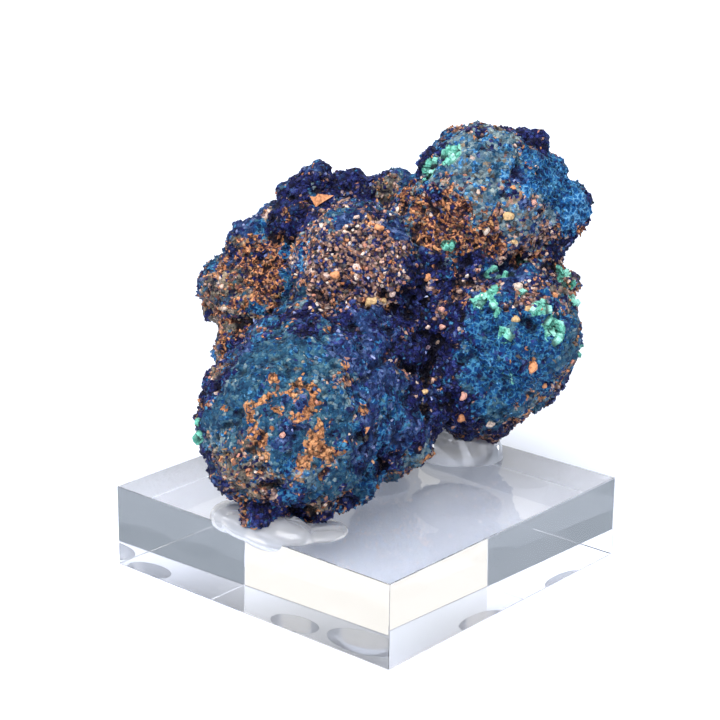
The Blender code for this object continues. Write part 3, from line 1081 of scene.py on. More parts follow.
@dataclass(frozen=True)
class RockFinish:
    """The rock's finish: each point's mineral, in grains, with painted shade where it is hollow and in the
    gaps between grains.

    Sizes are in millimetres. On the crystals, a crystal's own tint takes the place of a grain's, and painted
    shade at each crystal's foot takes the place of the painted shade between grains.
    """

    name: str = "azurite_rock"
    grain: float = 0.52
    on_crystals: bool = False
    roughness: float = 0.6
    bright_roughness: float = 0.25
    specular: float = 0.14
    wobble: float = 0.25
    wobble_size: float = 0.4
    fine_size: float = 0.3
    mottle_size: float = 1.7
    vein_size: float = 0.95
    vein_width: float = 0.1
    mottle_range: Span = (0.3, 0.7)
    grain_tone: float = 0.4
    fine_tone: float = 0.25
    mottle_tone: float = 0.35
    green_edge: Span = (0.3, 0.5)
    # Painted shade: the dark rims between grains, the darker feet of crystals and the darkened hollows, each
    # weaker on smooth crusts.
    painted_rim_shade: Span = (0.4, 0.75)
    painted_rim_shade_on_smooth: Span = (0.2, 0.8, 0.8, 0.2)
    painted_foot_shade: Span = (0.75, 0.15, 0.0, 0.85)
    painted_hollow_shade: Span = (0.02, 0.55)
    painted_hollow_shade_on_smooth: Span = (0.2, 0.9, 0.94, 0.7)
    bright_grains: Span = (0.8, 0.95)
    grain_height: float = -0.8
    fine_height: float = 1.0
    vein_height: float = 0.6
    knob_height: float = -1.4
    border: float = 0.8
    least_share: float = 0.0005
    lowest_score: float = -1.0e6
    draw_step: float = 3.7
    tint_draws: float = 61.0
    tint_chances: float = 37.0
    bump_strength: float = 0.9
    bump_depth: float = 0.28

    def tones(self, canvas: Canvas, pigment: Pigment, mixed: Socket, vein: Socket) -> Socket:
        """Colour one mineral, with lighter veins where it has them.

        Args:
            canvas: The material's canvas.
            pigment: The mineral's shades.
            mixed: The mottling, from dark to light.
            vein: How much each point lies on a vein.

        Returns:
            The colour.
        """
        amount = mixed
        if pigment.veined:
            amount = canvas.total((mixed, 1.0 - 0.5 * pigment.veined), (vein, pigment.veined))
        return canvas.ramp(amount, list(zip(SHADE_STOPS, (pigment.dark, pigment.middle, pigment.light))))

    def mineral(self, canvas: Canvas, grains: bpy.types.Node, mixed: Socket, vein: Socket) -> Socket:
        """Pick one mineral for each grain, the likelier the more of it grows there.

        Args:
            canvas: The material's canvas.
            grains: The pattern of grains.
            mixed: The mottling, from dark to light.
            vein: How much each point lies on a vein.

        Returns:
            The picked mineral's colour.
        """
        colour: Any = DIRT_AND_PAINTED_SHADE
        best: Any = self.lowest_score
        tint = canvas.calc("MULTIPLY", canvas.attribute("tint"), self.tint_draws)
        for number, pigment in enumerate(PIGMENTS):
            step = self.draw_step * number
            inputs = {"W": canvas.calc("ADD", tint, step)}
            if not self.on_crystals:
                inputs = {"Vector": grains.outputs["Position"], "W": step}
            kind = "1D" if self.on_crystals else "4D"
            lot = canvas.add("ShaderNodeTexWhiteNoise", inputs, noise_dimensions=kind).outputs["Value"]
            drawn = canvas.calc("MAXIMUM", lot, self.least_share)
            share = canvas.calc("MAXIMUM", canvas.attribute(pigment.kind.value), self.least_share)
            score = canvas.calc("DIVIDE", canvas.calc("LOGARITHM", drawn, math.e), share)
            lead = canvas.span(canvas.calc("SUBTRACT", score, best), -self.border, self.border)
            colour = canvas.blend(lead, colour, self.tones(canvas, pigment, mixed, vein))
            best = canvas.calc("MAXIMUM", best, score)
        green = canvas.span(canvas.attribute(GREEN.kind.value), *self.green_edge)
        return canvas.blend(green, colour, self.tones(canvas, GREEN, mixed, vein))

    def material(self) -> bpy.types.Material:
        """Make the material.

        Returns:
            The material.
        """
        material, canvas, shader = new_material(self.name)
        place = canvas.place()
        scale = 1.0 / (self.wobble_size * MM)
        wobble = canvas.add("ShaderNodeTexNoise", {"Vector": place, "Scale": scale, "Detail": 1.0})
        shift = canvas.vector("MULTIPLY", wobble.outputs["Color"], (self.wobble * MM,) * 3).outputs[0]
        wavy = canvas.vector("ADD", place, shift).outputs[0]
        grains = canvas.cells(wavy, self.grain)
        chance = canvas.add("ShaderNodeSeparateColor", {0: grains.outputs["Color"]}).outputs[1]
        if self.on_crystals:
            turned = canvas.calc("MULTIPLY", canvas.attribute("tint"), self.tint_chances)
            chance = canvas.calc("FRACT", turned)
        fine = canvas.noise(place, self.fine_size, detail=3.0, roughness=0.6)
        blotches = canvas.noise(place, self.mottle_size, detail=4.0, roughness=0.6)
        mottle = canvas.span(blotches, *self.mottle_range)
        mixed = canvas.total((chance, self.grain_tone), (fine, self.fine_tone), (mottle, self.mottle_tone))
        winding = canvas.noise(place, self.vein_size, detail=1.5, roughness=0.5)
        crest = canvas.calc("SUBTRACT", winding, 0.5)
        vein = canvas.span(canvas.calc("ABSOLUTE", crest), self.vein_width, 0.0)
        smooth = canvas.total(*((canvas.attribute(kind.value), 1.0) for kind in SMOOTH_CRUSTS))
        colour = self.mineral(canvas, grains, mixed, vein)
        # Painted shade between grains, or at a crystal's foot, blended towards near-black.
        painted_rims = canvas.span(grains.outputs["Distance"], *self.painted_rim_shade)
        painted_gap_shade = canvas.calc("MULTIPLY", painted_rims, canvas.span(smooth, *self.painted_rim_shade_on_smooth))
        if self.on_crystals:
            painted_gap_shade = canvas.span(canvas.attribute("lift"), *self.painted_foot_shade)
        colour = canvas.blend(painted_gap_shade, colour, DIRT_AND_PAINTED_SHADE)
        # Painted shade in hollows, weaker on smooth crusts.
        sunk = canvas.span(canvas.attribute("hollow"), *self.painted_hollow_shade)
        depth = canvas.calc("MULTIPLY", sunk, canvas.span(smooth, *self.painted_hollow_shade_on_smooth))
        canvas.feed(shader.inputs["Base Color"], canvas.blend(depth, colour, DIRT_AND_PAINTED_SHADE))
        gloss = canvas.span(chance, *self.bright_grains, self.roughness, self.bright_roughness)
        canvas.feed(shader.inputs["Roughness"], gloss)
        shader.inputs["Specular IOR Level"].default_value = self.specular
        knobbly = canvas.cells(wavy, 2.0 * self.grain, "SMOOTH_F1").outputs["Distance"]
        height = canvas.total(
            (grains.outputs["Distance"], self.grain_height),
            (fine, self.fine_height),
            (vein, self.vein_height),
            (knobbly, self.knob_height),
        )
        canvas.bump(shader, height, self.bump_strength, self.bump_depth)
        return material


ROCK = RockFinish()
CRYSTALS = RockFinish("azurite_crystals", on_crystals=True, roughness=0.4, specular=0.22)


class CrystalShape(Enum):
    """The shape of one small crystal or grain."""

    BLADE = "blade"
    BLOCK = "block"
    PEBBLE = "pebble"


CRYSTAL_SIDES = 4
# How wide a crystal's top is, as a share of its foot.
CRYSTAL_TAPERS = {CrystalShape.BLADE: 0.8, CrystalShape.BLOCK: 0.66}
# The most points tried for each square of the spacing.
MOST_CRYSTALS = 4.0


@dataclass(frozen=True)
class CrystalCrop:
    """Small crystals that a Geometry Nodes tree plants over the skin. Sizes are in millimetres."""

    name: str
    shape: CrystalShape
    finish: GrainFinish | RockFinish
    seed: int
    spacing: float
    smallest: tuple[float, float, float]
    largest: tuple[float, float, float]
    lean_deg: float
    sink: float
    roughen: float
    shares: dict[Mineral, float]
    dent_size: float = 0.45

    def crystal(self, canvas: Canvas) -> Socket:
        """Make one crystal, about 1 mm wide and centred, before it is sized.

        Args:
            canvas: The canvas of the tree.

        Returns:
            The crystal.
        """
        half = 0.5 * MM
        if self.shape is CrystalShape.PEBBLE:
            ball = canvas.add("GeometryNodeMeshIcoSphere", {"Radius": half, "Subdivisions": 1})
            return ball.outputs["Mesh"]
        top = half * CRYSTAL_TAPERS[self.shape]
        sizes = {"Vertices": CRYSTAL_SIDES, "Radius Bottom": half, "Radius Top": top, "Depth": 2 * half}
        cone = canvas.add("GeometryNodeMeshCone", sizes).outputs["Mesh"]
        centred = canvas.add("GeometryNodeTransform", {"Geometry": cone, "Translation": (0.0, 0.0, -half)})
        return centred.outputs["Geometry"]

    def inputs(self) -> dict[str, tuple[str, Any]]:
        """Name the tree's inputs.

        Returns:
            Each input's kind of socket and value.
        """
        return {
            "Spacing": ("NodeSocketFloat", self.spacing * MM),
            "Lean": ("NodeSocketFloat", math.radians(self.lean_deg)),
            "Sink": ("NodeSocketFloat", self.sink * MM),
            "Roughen": ("NodeSocketFloat", self.roughen * MM),
            "Smallest": ("NodeSocketVector", self.smallest),
            "Largest": ("NodeSocketVector", self.largest),
            "Seed": ("NodeSocketInt", self.seed),
        }

    def tree(self, material: bpy.types.Material) -> bpy.types.NodeTree:
        """Build the tree that plants the crystals.

        Args:
            material: The crystals' finish.

        Returns:
            The tree, with named inputs for the spacing, sizes, lean, sink and seed.
        """
        tree = bpy.data.node_groups.new(self.name, "GeometryNodeTree")
        for way in ("INPUT", "OUTPUT"):
            tree.interface.new_socket("Geometry", in_out=way, socket_type="NodeSocketGeometry")
        for name, (kind, _) in self.inputs().items():
            tree.interface.new_socket(name, in_out="INPUT", socket_type=kind)
        canvas = Canvas(tree)
        given = canvas.add("NodeGroupInput").outputs
        growth = canvas.add("GeometryNodeInputNamedAttribute", {"Name": "growth"}, data_type="FLOAT")
        spread_inputs = {
            "Mesh": given["Geometry"],
            "Distance Min": given["Spacing"],
            "Density Max": MOST_CRYSTALS / (self.spacing * MM) ** 2,
            "Density Factor": growth.outputs["Attribute"],
            "Seed": given["Seed"],
        }
        spread = canvas.add(
            "GeometryNodeDistributePointsOnFaces", spread_inputs, distribute_method="POISSON"
        ).outputs
        backwards = canvas.calc("MULTIPLY", given["Lean"], -1.0)
        low = canvas.add("ShaderNodeCombineXYZ", {0: backwards, 1: backwards})
        high = canvas.add("ShaderNodeCombineXYZ", {0: given["Lean"], 1: given["Lean"], 2: math.tau})
        lean = canvas.chance("FLOAT_VECTOR", low.outputs[0], high.outputs[0], given["Seed"])
        turn = canvas.add("FunctionNodeEulerToRotation", {0: lean}).outputs[0]
        stand = canvas.add(
            "FunctionNodeRotateRotation", {0: spread["Rotation"], 1: turn}, rotation_space="LOCAL"
        ).outputs[0]
        size = canvas.chance("FLOAT_VECTOR", given["Smallest"], given["Largest"], given["Seed"])
        spot = canvas.add("GeometryNodeInputPosition").outputs[0]
        above = canvas.add("ShaderNodeSeparateXYZ", {0: spot}).outputs["Z"]
        # Each crystal's height from its foot, which the crystal finish uses to paint shade at the foot.
        lift = canvas.calc("ADD", canvas.calc("MULTIPLY", above, 1.0 / MM), 0.5)
        crystal = canvas.stored("lift", self.crystal(canvas), lift)
        planted = {"Points": spread["Points"], "Instance": crystal, "Rotation": stand, "Scale": size}
        instances = canvas.add("GeometryNodeInstanceOnPoints", planted).outputs[0]
        drop = canvas.add("ShaderNodeCombineXYZ", {2: canvas.calc("MULTIPLY", given["Sink"], -1.0)})
        moved = {"Instances": instances, "Translation": drop.outputs[0]}
        sunk = canvas.add("GeometryNodeTranslateInstances", moved)
        tint = canvas.chance("FLOAT", 0.0, 1.0, given["Seed"])
        tinted = canvas.stored("tint", sunk.outputs[0], tint, "INSTANCE")
        solid = canvas.add("GeometryNodeRealizeInstances", {0: tinted}).outputs[0]
        scale = 1.0 / (self.dent_size * MM)
        dents = canvas.add("ShaderNodeTexNoise", {"Vector": spot, "Scale": scale, "Detail": 0.0})
        centred = canvas.vector("SUBTRACT", dents.outputs["Color"], (0.5,) * 3).outputs[0]
        push = canvas.vector("SCALE", centred)
        canvas.feed(push.inputs["Scale"], given["Roughen"])
        rough = canvas.add("GeometryNodeSetPosition", {"Geometry": solid, "Offset": push.outputs[0]})
        dressed = canvas.add("GeometryNodeSetMaterial", {"Geometry": rough.outputs[0], "Material": material})
        canvas.add("NodeGroupOutput", {0: dressed.outputs[0]})
        return tree

    def plant(self, skin: Skin, material: bpy.types.Material) -> bpy.types.Object:
        """Plant the crystals over the skin.

        Args:
            skin: The finished skin.
            material: The crystals' finish.

        Returns:
            The crystals, as one plain mesh.
        """
        growth = sum(share * skin.weights[kind] for kind, share in self.shares.items())
        mesh = skin.piece.data.copy()
        Skin.store(mesh, "growth", np.clip(growth, 0.0, 1.0))
        piece = put_in_scene(self.name, mesh)
        planter = piece.modifiers.new("plant", "NODES")
        planter.node_group = self.tree(material)
        values = self.inputs()
        for socket in planter.node_group.interface.items_tree:
            if socket.name in values:
                planter[socket.identifier] = values[socket.name][1]
        make_plain(piece)
        piece.data.attributes.remove(piece.data.attributes["growth"])
        return piece


CROPS = (
    CrystalCrop(
        "coarse_grains", CrystalShape.PEBBLE, CRYSTALS, seed=5, spacing=0.95,
        smallest=(0.5, 0.45, 0.45), largest=(1.35, 1.15, 0.95), lean_deg=60.0, sink=0.2, roughen=0.6,
        shares={
            INDIGO: 0.55, STEEL: 0.06, PALE: 0.75, RUST: 0.1, EARTH: 0.24, TEAL: 0.04, MIST: 0.03,
            AZURE: 0.04, OCHRE: 0.08,
        },
    ),
    CrystalCrop(
        "fine_grains", CrystalShape.BLOCK, CRYSTALS, seed=7, spacing=0.64,
        smallest=(0.35, 0.3, 0.3), largest=(0.8, 0.7, 0.7), lean_deg=60.0, sink=0.14, roughen=0.45,
        shares={
            INDIGO: 0.4, STEEL: 0.08, PALE: 0.9, RUST: 0.2, EARTH: 0.5, TEAL: 0.04, MIST: 0.06,
            AZURE: 0.04, OCHRE: 0.4,
        },
    ),
    CrystalCrop(
        "azurite_blades", CrystalShape.BLADE, CRYSTALS, seed=3, spacing=0.62,
        smallest=(0.45, 0.14, 0.25), largest=(1.1, 0.3, 0.5), lean_deg=65.0, sink=0.22, roughen=0.3,
        shares={AZURE: 0.5, SKY: 0.4, STEEL: 0.1, TEAL: 0.05, RUST: 0.2, INDIGO: 0.15},
    ),
    CrystalCrop(
        "malachite_crystals", CrystalShape.BLOCK, CRYSTALS, seed=13, spacing=0.8,
        smallest=(0.9, 0.8, 0.7), largest=(2.0, 1.6, 1.6), lean_deg=55.0, sink=0.0, roughen=0.3,
        shares={MALACHITE: 1.0},
    ),
    CrystalCrop(
        "pale_pebbles", CrystalShape.PEBBLE, PALE_GRAINS, seed=17, spacing=0.85,
        smallest=(0.35, 0.32, 0.3), largest=(0.95, 0.85, 0.75), lean_deg=60.0, sink=0.05, roughen=0.35,
        shares={PALE: 0.5, EARTH: 0.12, STEEL: 0.006, INDIGO: 0.012, MIST: 0.01, OCHRE: 0.03},
    ),
    CrystalCrop(
        "rust_flakes", CrystalShape.BLADE, RUST_GRAINS, seed=23, spacing=0.6,
        smallest=(0.5, 0.2, 0.2), largest=(1.3, 0.55, 0.4), lean_deg=75.0, sink=0.1, roughen=0.4,
        shares={RUST: 0.42, EARTH: 0.08, PALE: 0.06, OCHRE: 0.1},
    ),
    CrystalCrop(
        "bright_facets", CrystalShape.BLADE, BRIGHT_FACETS, seed=29, spacing=0.9,
        smallest=(0.45, 0.3, 0.2), largest=(1.15, 0.7, 0.35), lean_deg=50.0, sink=0.05, roughen=0.0,
        shares={STEEL: 0.1, INDIGO: 0.03, PALE: 0.05},
    ),
)


class Shade(Enum):
    """The shade of a single large grain, as its place along the finish's ramp."""

    ORANGE = 0.05
    TAN = 0.25
    PINK = 0.45
    CREAM = 0.65
    BROWN = 0.85


# Single large grains of the display side: millimetres across, millimetres up and width.
SINGLES: dict[Shade, Spots] = {
    Shade.ORANGE: (
        (-7.5, 51.5, 2.6), (13, 21, 1.8), (1, 47, 1.6), (-5, 40.5, 1.6), (22.5, 28, 1.8),
        (-0.5, 19.5, 1.2), (24.5, 25.5, 1), (25.5, 38, 1.4), (8, 40.5, 1.3),
    ),
    Shade.TAN: (
        (0, 37, 1.7), (1.5, 37, 1.5), (19, 49, 1.6), (20, 45.5, 1.2), (22, 36, 1.3), (20, 34.5, 1.3),
        (7.5, 24.5, 1.2),
    ),
    Shade.PINK: (
        (13, 24, 1.3), (12, 19.5, 0.9), (-11.5, 19, 1), (22.5, 51, 1.1), (10, 36, 1), (10, 33.5, 1),
    ),
    Shade.CREAM: (
        (-6, 40.5, 1), (-2, 41.5, 1.1), (3, 38, 1), (-2, 48.5, 1), (23, 56, 0.8), (20, 59, 0.7),
        (8, 33.5, 0.8),
    ),
    Shade.BROWN: ((20.5, 39, 1.8), (17, 20, 1.2), (-21, 36, 1.1), (16, 47, 1.2)),
}


@dataclass(frozen=True)
class SingleGrains:
    """The few grains that are large enough to be placed one by one."""

    name: str = "single_grains"
    depth: float = 0.85
    pebble_thickness: float = 0.7
    pebble_roughness: float = 0.2
    pebble_axis: tuple[float, float, float] = (1.0, 0.7, 0.4)
    cells_in_a_mm: float = 10.0
    dent_size: float = 0.5
    flake_width: float = 2.0
    flake_sides: int = 5
    flake_thickness: float = 0.3
    flake_taper: float = 0.8
    flake_roughness: float = 0.4
    flake_lean: float = 0.15
    flake_lift: float = 0.5

    def build(self, skin: Skin) -> bpy.types.Object:
        """Set the grains on the skin.

        Args:
            skin: The finished skin.

        Returns:
            The grains, as one mesh.
        """
        bpy.context.view_layer.update()
        shape = bmesh.new()
        tints: list[float] = []
        for shade, spots in SINGLES.items():
            for across, up, width in spots:
                place = skin.surface_point(across, up, Side.DISPLAY)
                if place is not None:
                    self.add_grain(shape, place, width)
                    tints += [shade.value] * (len(shape.verts) - len(tints))
        grains = finished(self.name, shape)
        Skin.store(grains.data, "tint", np.array(tints))
        return grains

    def add_grain(self, shape: bmesh.types.BMesh, place: np.ndarray, width: float) -> None:
        """Add one uneven grain: an angular flake where it is wide, and a pebble elsewhere.

        Args:
            shape: What the grain is added to.
            place: Its place on the skin, in millimetres.
            width: Its width, in millimetres.
        """
        flat = width > self.flake_width
        thickness = self.flake_thickness if flat else self.pebble_thickness
        size = Matrix.Diagonal((width, width * self.depth, width * thickness, 1.0))
        if flat:
            across, above, out = display_axes()
            axes = Matrix((across, above, out)).transposed().to_4x4()
            lifted = Matrix.Translation(Vector(place + out * self.flake_lift) * MM)
            where = lifted @ axes @ Matrix.Rotation(self.flake_lean, 4, "X") @ size
            radii = {"radius1": 0.5 * MM, "radius2": 0.5 * MM * self.flake_taper}
            sides = {"cap_ends": True, "segments": self.flake_sides}
            made = bmesh.ops.create_cone(shape, **sides, **radii, depth=MM, matrix=where)["verts"]
        else:
            cell = np.round(place * self.cells_in_a_mm)
            turn = scattered(cell[None, :], Seed.TURNS)[0] * math.tau
            turned = Matrix.Rotation(turn, 4, Vector(self.pebble_axis))
            where = Matrix.Translation(Vector(place) * MM) @ turned @ size
            made = bmesh.ops.create_icosphere(shape, subdivisions=2, radius=0.5 * MM, matrix=where)["verts"]
        spots = np.array([vert.co for vert in made]) / MM
        dent = self.dent_size * width
        push = np.stack([smooth_noise(spots, dent, Seed.UNEVEN + axis) for axis in range(3)], axis=1)
        roughness = self.flake_roughness if flat else self.pebble_roughness
        for vert, offset in zip(made, push * roughness * width * MM):
            vert.co += Vector(offset)


SINGLE_FINISH = GrainFinish(
    "single_grains",
    (tone(212, 136, 92), tone(196, 162, 116), tone(216, 156, 146), tone(234, 218, 202), tone(140, 104, 84)),
)


@dataclass(frozen=True)
class ClearFinish:
    """A see-through finish, with faint smears of a width in millimetres."""

    name: str
    tint: Colour
    roughness: float
    ior: float
    transmission: float = 1.0
    smear_size: float = 9.0
    smear_range: Span = (0.45, 0.8)
    smear: float = 0.015

    def material(self) -> bpy.types.Material:
        """Make the material, with faint dust and wipe marks in its gloss.

        Returns:
            The material.
        """
        material, canvas, shader = new_material(self.name)
        smear = canvas.noise(canvas.place(), self.smear_size, detail=4.0)
        canvas.feed(shader.inputs["Base Color"], self.tint)
        gloss = canvas.span(smear, *self.smear_range, self.roughness, self.roughness + self.smear)
        canvas.feed(shader.inputs["Roughness"], gloss)
        shader.inputs["IOR"].default_value = self.ior
        shader.inputs["Transmission Weight"].default_value = self.transmission
        return material


ACRYLIC = ClearFinish("clear_acrylic", (0.92, 0.923, 0.935), 0.0, 1.49)
GLUE = ClearFinish("clear_glue", (0.91, 0.918, 0.945), 0.05, 1.48, 0.72)


class Blob(NamedTuple):
    """A flattened drop of glue, as a centre and its three half widths."""

    centre: tuple[float, float, float]
    half_widths: tuple[float, float, float]


@dataclass(frozen=True)
class GlueDab:
    """A smooth dab of glue that grips the block and closes round the rock's foot."""

    name: str
    blobs: tuple[Blob, ...]
    voxel: float = 0.28
    smoothing: int = 10
    grip: float = 0.02
    crease_deg: float = 50.0

    def build(self, block: bpy.types.Object) -> bpy.types.Object:
        """Make the dab.

        Args:
            block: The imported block, which the dab is pressed a hair's breadth into.

        Returns:
            The dab.
        """
        shape = bmesh.new()
        for blob in self.blobs:
            place = Matrix.Translation(Vector(blob.centre) * MM) @ Matrix.Diagonal((*blob.half_widths, 1.0))
            bmesh.ops.create_icosphere(shape, subdivisions=4, radius=MM, matrix=place)
        dab = finished(self.name + "_smooth", shape)
        fuse = dab.modifiers.new("fuse", "REMESH")
        fuse.mode = "VOXEL"
        fuse.voxel_size = self.voxel * MM
        soften = dab.modifiers.new("soften", "SMOOTH")
        soften.iterations = self.smoothing
        press = box_around(block, "press", self.grip)
        cut = dab.modifiers.new("press", "BOOLEAN")
        cut.operation = "DIFFERENCE"
        cut.object = press
        make_plain(dab)
        bpy.data.objects.remove(press)
        dab.data.shade_smooth()
        dab.data.set_sharp_from_angle(angle=math.radians(self.crease_deg))
        return dab


@dataclass(frozen=True)
class Block:
    """The clear block, cut square and polished, with fine rounded edges."""

    edge_radius: float = 0.1
    edge_steps: int = 2

    def build(self, node: bpy.types.Object) -> bpy.types.Object:
        """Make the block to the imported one's size.

        Args:
            node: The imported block.

        Returns:
            The block.
        """
        block = box_around(node, "display_block")
        bevel = block.modifiers.new("edges", "BEVEL")
        bevel.width = self.edge_radius * MM
        bevel.segments = self.edge_steps
        make_plain(block)
        block.data.shade_flat()
        return block


GLUE_DABS = (
    GlueDab("glue_front", (
        Blob((2.5, -22.5, 12.0), (6.6, 3.8, 2.7)),
        Blob((-4.5, -22.5, 12.0), (4.0, 3.4, 2.3)),
        Blob((-1.0, -24.4, 12.2), (4.8, 1.9, 1.9)),
        Blob((7.5, -18.5, 12.0), (3.6, 4.0, 1.1)),
    )),
    GlueDab("glue_right", (
        Blob((1.5, 18.0, 12.0), (6.3, 6.3, 4.2)),
        Blob((4.5, 18.5, 12.0), (4.6, 4.8, 4.8)),
    )),
    GlueDab("glue_back_left", (
        Blob((-10.2, 15.0, 12.0), (4.3, 4.6, 3.8)),
    )),
)


@dataclass(frozen=True)
class CameraSpot:
    """Where the camera stands, about a point above the block's centre."""

    azimuth_deg: float = 40.73
    elevation_deg: float = 17.76
    roll_deg: float = 0.56
    distance: float = 289.97
    aim_right: float = -1.37
    aim_up: float = 28.9
    lens: float = 99.57
    clip_start: float = 5.0

    def place(self) -> bpy.types.Object:
        """Add the camera to the scene.

        Returns:
            The camera.
        """
        azimuth = math.radians(self.azimuth_deg)
        elevation = math.radians(self.elevation_deg)
        level = math.cos(elevation)
        back = Vector((math.sin(azimuth) * level, -math.cos(azimuth) * level, math.sin(elevation)))
        side = Vector((math.cos(azimuth), math.sin(azimuth), 0.0))
        above = back.cross(side)
        turn = Matrix.Rotation(math.radians(self.roll_deg), 3, back)
        data = bpy.data.cameras.new("camera")
        data.lens = self.lens
        data.clip_start = self.clip_start * MM
        camera = put_in_scene("camera", data)
        spot = (back * self.distance + side * self.aim_right + above * self.aim_up) * MM
        axes = Matrix((turn @ side, turn @ above, back)).transposed()
        camera.matrix_world = Matrix.Translation(spot) @ axes.to_4x4()
        bpy.context.scene.camera = camera
        return camera


@dataclass(frozen=True)
class TentPanel:
    """A round stretch of the light tent in its own tone.

    Its middle is a bearing, clockwise from +Y, and a height, and its edge is soft.
    """

    bearing_deg: float
    elevation_deg: float
    radius_deg: float
    edge_deg: float
    colour: Colour


class Lamp(NamedTuple):
    """A round lamp: its place and width in millimetres, and its power in watts."""

    name: str
    place: tuple[float, float, float]
    width: float
    power: float


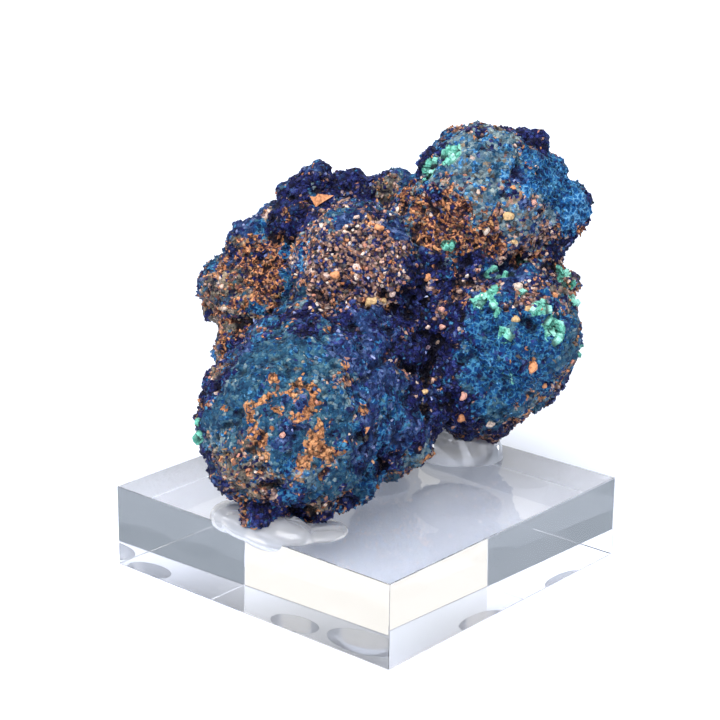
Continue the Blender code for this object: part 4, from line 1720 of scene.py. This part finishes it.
@dataclass
class Studio:
    """A pale light tent with darker and warmer panels, a floor with a painted shadow behind the block, and
    lamps. Sizes are in millimetres.
    """

    floor_width: float = 1200.0
    floor_glow: float = 0.14
    far_glow: float = 0.6
    glow_start: float = 120.0
    glow_end: float = 300.0
    floor_drop: float = 0.05
    floor_roughness: float = 0.8
    # Painted shadow: a soft grey spot on the floor behind the block, where the block and rock would cast
    # their shade.
    painted_shadow_place: tuple[float, float, float] = (-22.0, 34.0, 0.0)
    painted_shadow_core: float = 6.0
    painted_shadow_reach: float = 37.0
    painted_shadow_tone: Colour = (0.6, 0.605, 0.61)
    white: Colour = (1.0, 1.0, 1.0)
    tent: Colour = (0.79, 0.82, 0.91)
    floor_tone: Colour = (0.83, 0.87, 0.97)
    glow_tone: Colour = (0.84, 0.92, 1.08)
    tent_strength: float = 1.0
    light_bounces: int = 32
    lamp_aim: tuple[float, float, float] = (0.0, 0.0, 30.0)
    panels: tuple[TentPanel, ...] = (
        TentPanel(-100.0, 42.0, 28.0, 22.0, (0.42, 0.45, 0.52)),
        TentPanel(47.0, 23.0, 26.0, 10.0, tone(138, 148, 158)),
        TentPanel(-145.0, 23.0, 26.0, 10.0, tone(138, 148, 158)),
        TentPanel(-40.7, 24.0, 35.0, 12.0, (1.08, 1.04, 0.96)),
    )
    lamps: tuple[Lamp, ...] = (
        Lamp("softbox", (70.0, -145.0, 340.0), 320.0, 1.75),
        Lamp("spark", (150.0, -230.0, 260.0), 40.0, 0.18),
        Lamp("second_spark", (-160.0, -160.0, 200.0), 30.0, 0.1),
    )

    def light_the_tent(self) -> None:
        """Make the world: white to the camera, and the tent with its panels to everything else."""
        world = bpy.data.worlds.new("tent")
        world.use_nodes = True
        bpy.context.scene.world = world
        canvas = Canvas(world.node_tree)
        bearing = canvas.add("ShaderNodeTexCoord").outputs["Generated"]
        colour: Any = self.tent
        for panel in self.panels:
            turn = math.radians(panel.bearing_deg)
            lift = math.radians(panel.elevation_deg)
            towards = (math.sin(turn) * math.cos(lift), math.cos(turn) * math.cos(lift), math.sin(lift))
            facing = canvas.vector("DOT_PRODUCT", bearing, towards)
            inner = math.cos(math.radians(panel.radius_deg))
            outer = math.cos(math.radians(panel.radius_deg + panel.edge_deg))
            share = canvas.span(facing.outputs["Value"], outer, inner)
            colour = canvas.blend(share, colour, panel.colour)
        seen = canvas.add("ShaderNodeLightPath").outputs["Is Camera Ray"]
        colour = canvas.blend(seen, colour, self.white)
        background = world.node_tree.nodes["Background"]
        canvas.feed(background.inputs["Color"], colour)
        background.inputs["Strength"].default_value = self.tent_strength

    def lay_the_floor(self) -> None:
        """Add the pale floor, just under the block, with a painted shadow behind the block where its glow is
        cut too.
        """
        shape = bmesh.new()
        bmesh.ops.create_grid(shape, x_segments=1, y_segments=1, size=self.floor_width * MM / 2)
        bmesh.ops.translate(shape, vec=(0.0, 0.0, -self.floor_drop * MM), verts=shape.verts)
        floor = finished("floor", shape)
        material, canvas, shader = new_material("pale_floor")
        shader.inputs["Roughness"].default_value = self.floor_roughness
        place = canvas.place()
        # Painted shadow: the floor turns grey near the spot behind the block, and glows less there.
        centre = tuple(part * MM for part in self.painted_shadow_place)
        aside = canvas.vector("DISTANCE", place, centre).outputs["Value"]
        outside_painted_shadow = canvas.span(aside, self.painted_shadow_core * MM, self.painted_shadow_reach * MM)
        canvas.feed(shader.inputs["Base Color"], canvas.blend(outside_painted_shadow, self.painted_shadow_tone, self.floor_tone))
        canvas.feed(shader.inputs["Emission Color"], self.glow_tone)
        away = canvas.vector("LENGTH", place).outputs["Value"]
        glow = canvas.span(away, self.glow_start * MM, self.glow_end * MM, self.floor_glow, self.far_glow)
        canvas.feed(shader.inputs["Emission Strength"], canvas.calc("MULTIPLY", glow, outside_painted_shadow))
        dress(floor, material)

    def hang_the_lamps(self) -> None:
        """Add the lamps, each a disc turned to the object."""
        for lamp in self.lamps:
            data = bpy.data.lights.new(lamp.name, "AREA")
            data.shape = "DISK"
            data.size = lamp.width * MM
            data.energy = lamp.power
            hung = put_in_scene(lamp.name, data)
            spot = Vector(lamp.place) * MM
            turn = (spot - Vector(self.lamp_aim) * MM).to_track_quat("Z", "Y").to_matrix().to_4x4()
            hung.matrix_world = Matrix.Translation(spot) @ turn

    def set_up(self) -> None:
        """Build the floor, the tent, the lamps and the camera."""
        self.lay_the_floor()
        self.light_the_tent()
        self.hang_the_lamps()
        CameraSpot().place()
        scene = bpy.context.scene
        scene.view_settings.view_transform = "Standard"
        scene.cycles.max_bounces = self.light_bounces
        scene.cycles.glossy_bounces = self.light_bounces
        scene.cycles.transmission_bounces = self.light_bounces


def main() -> None:
    """Build the visible model around the frame."""
    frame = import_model()
    Studio().set_up()
    block = Block().build(frame["nodes"]["acrylic_block"])
    dress(block, ACRYLIC.material())
    settle(block, "clear_acrylic", "acrylic_block")
    glue = GLUE.material()
    for dab in GLUE_DABS:
        piece = dab.build(frame["nodes"]["acrylic_block"])
        dress(piece, glue)
        settle(piece, "clear_glue", dab.name)
    skin = Skin()
    skin.build(frame["nodes"]["azurite_specimen"])
    dress(skin.piece, ROCK.material())
    finishes = {finish: finish.material() for finish in dict.fromkeys(crop.finish for crop in CROPS)}
    grown = [crop.plant(skin, finishes[crop.finish]) for crop in CROPS]
    grown.append(SingleGrains().build(skin))
    dress(grown[-1], SINGLE_FINISH.material())
    settle(skin.piece, "azurite", "azurite_specimen")
    for piece in grown:
        settle(piece, "azurite")


if __name__ == "__main__":
    logging.basicConfig(level=logging.INFO, format="%(name)s %(message)s")
    main()
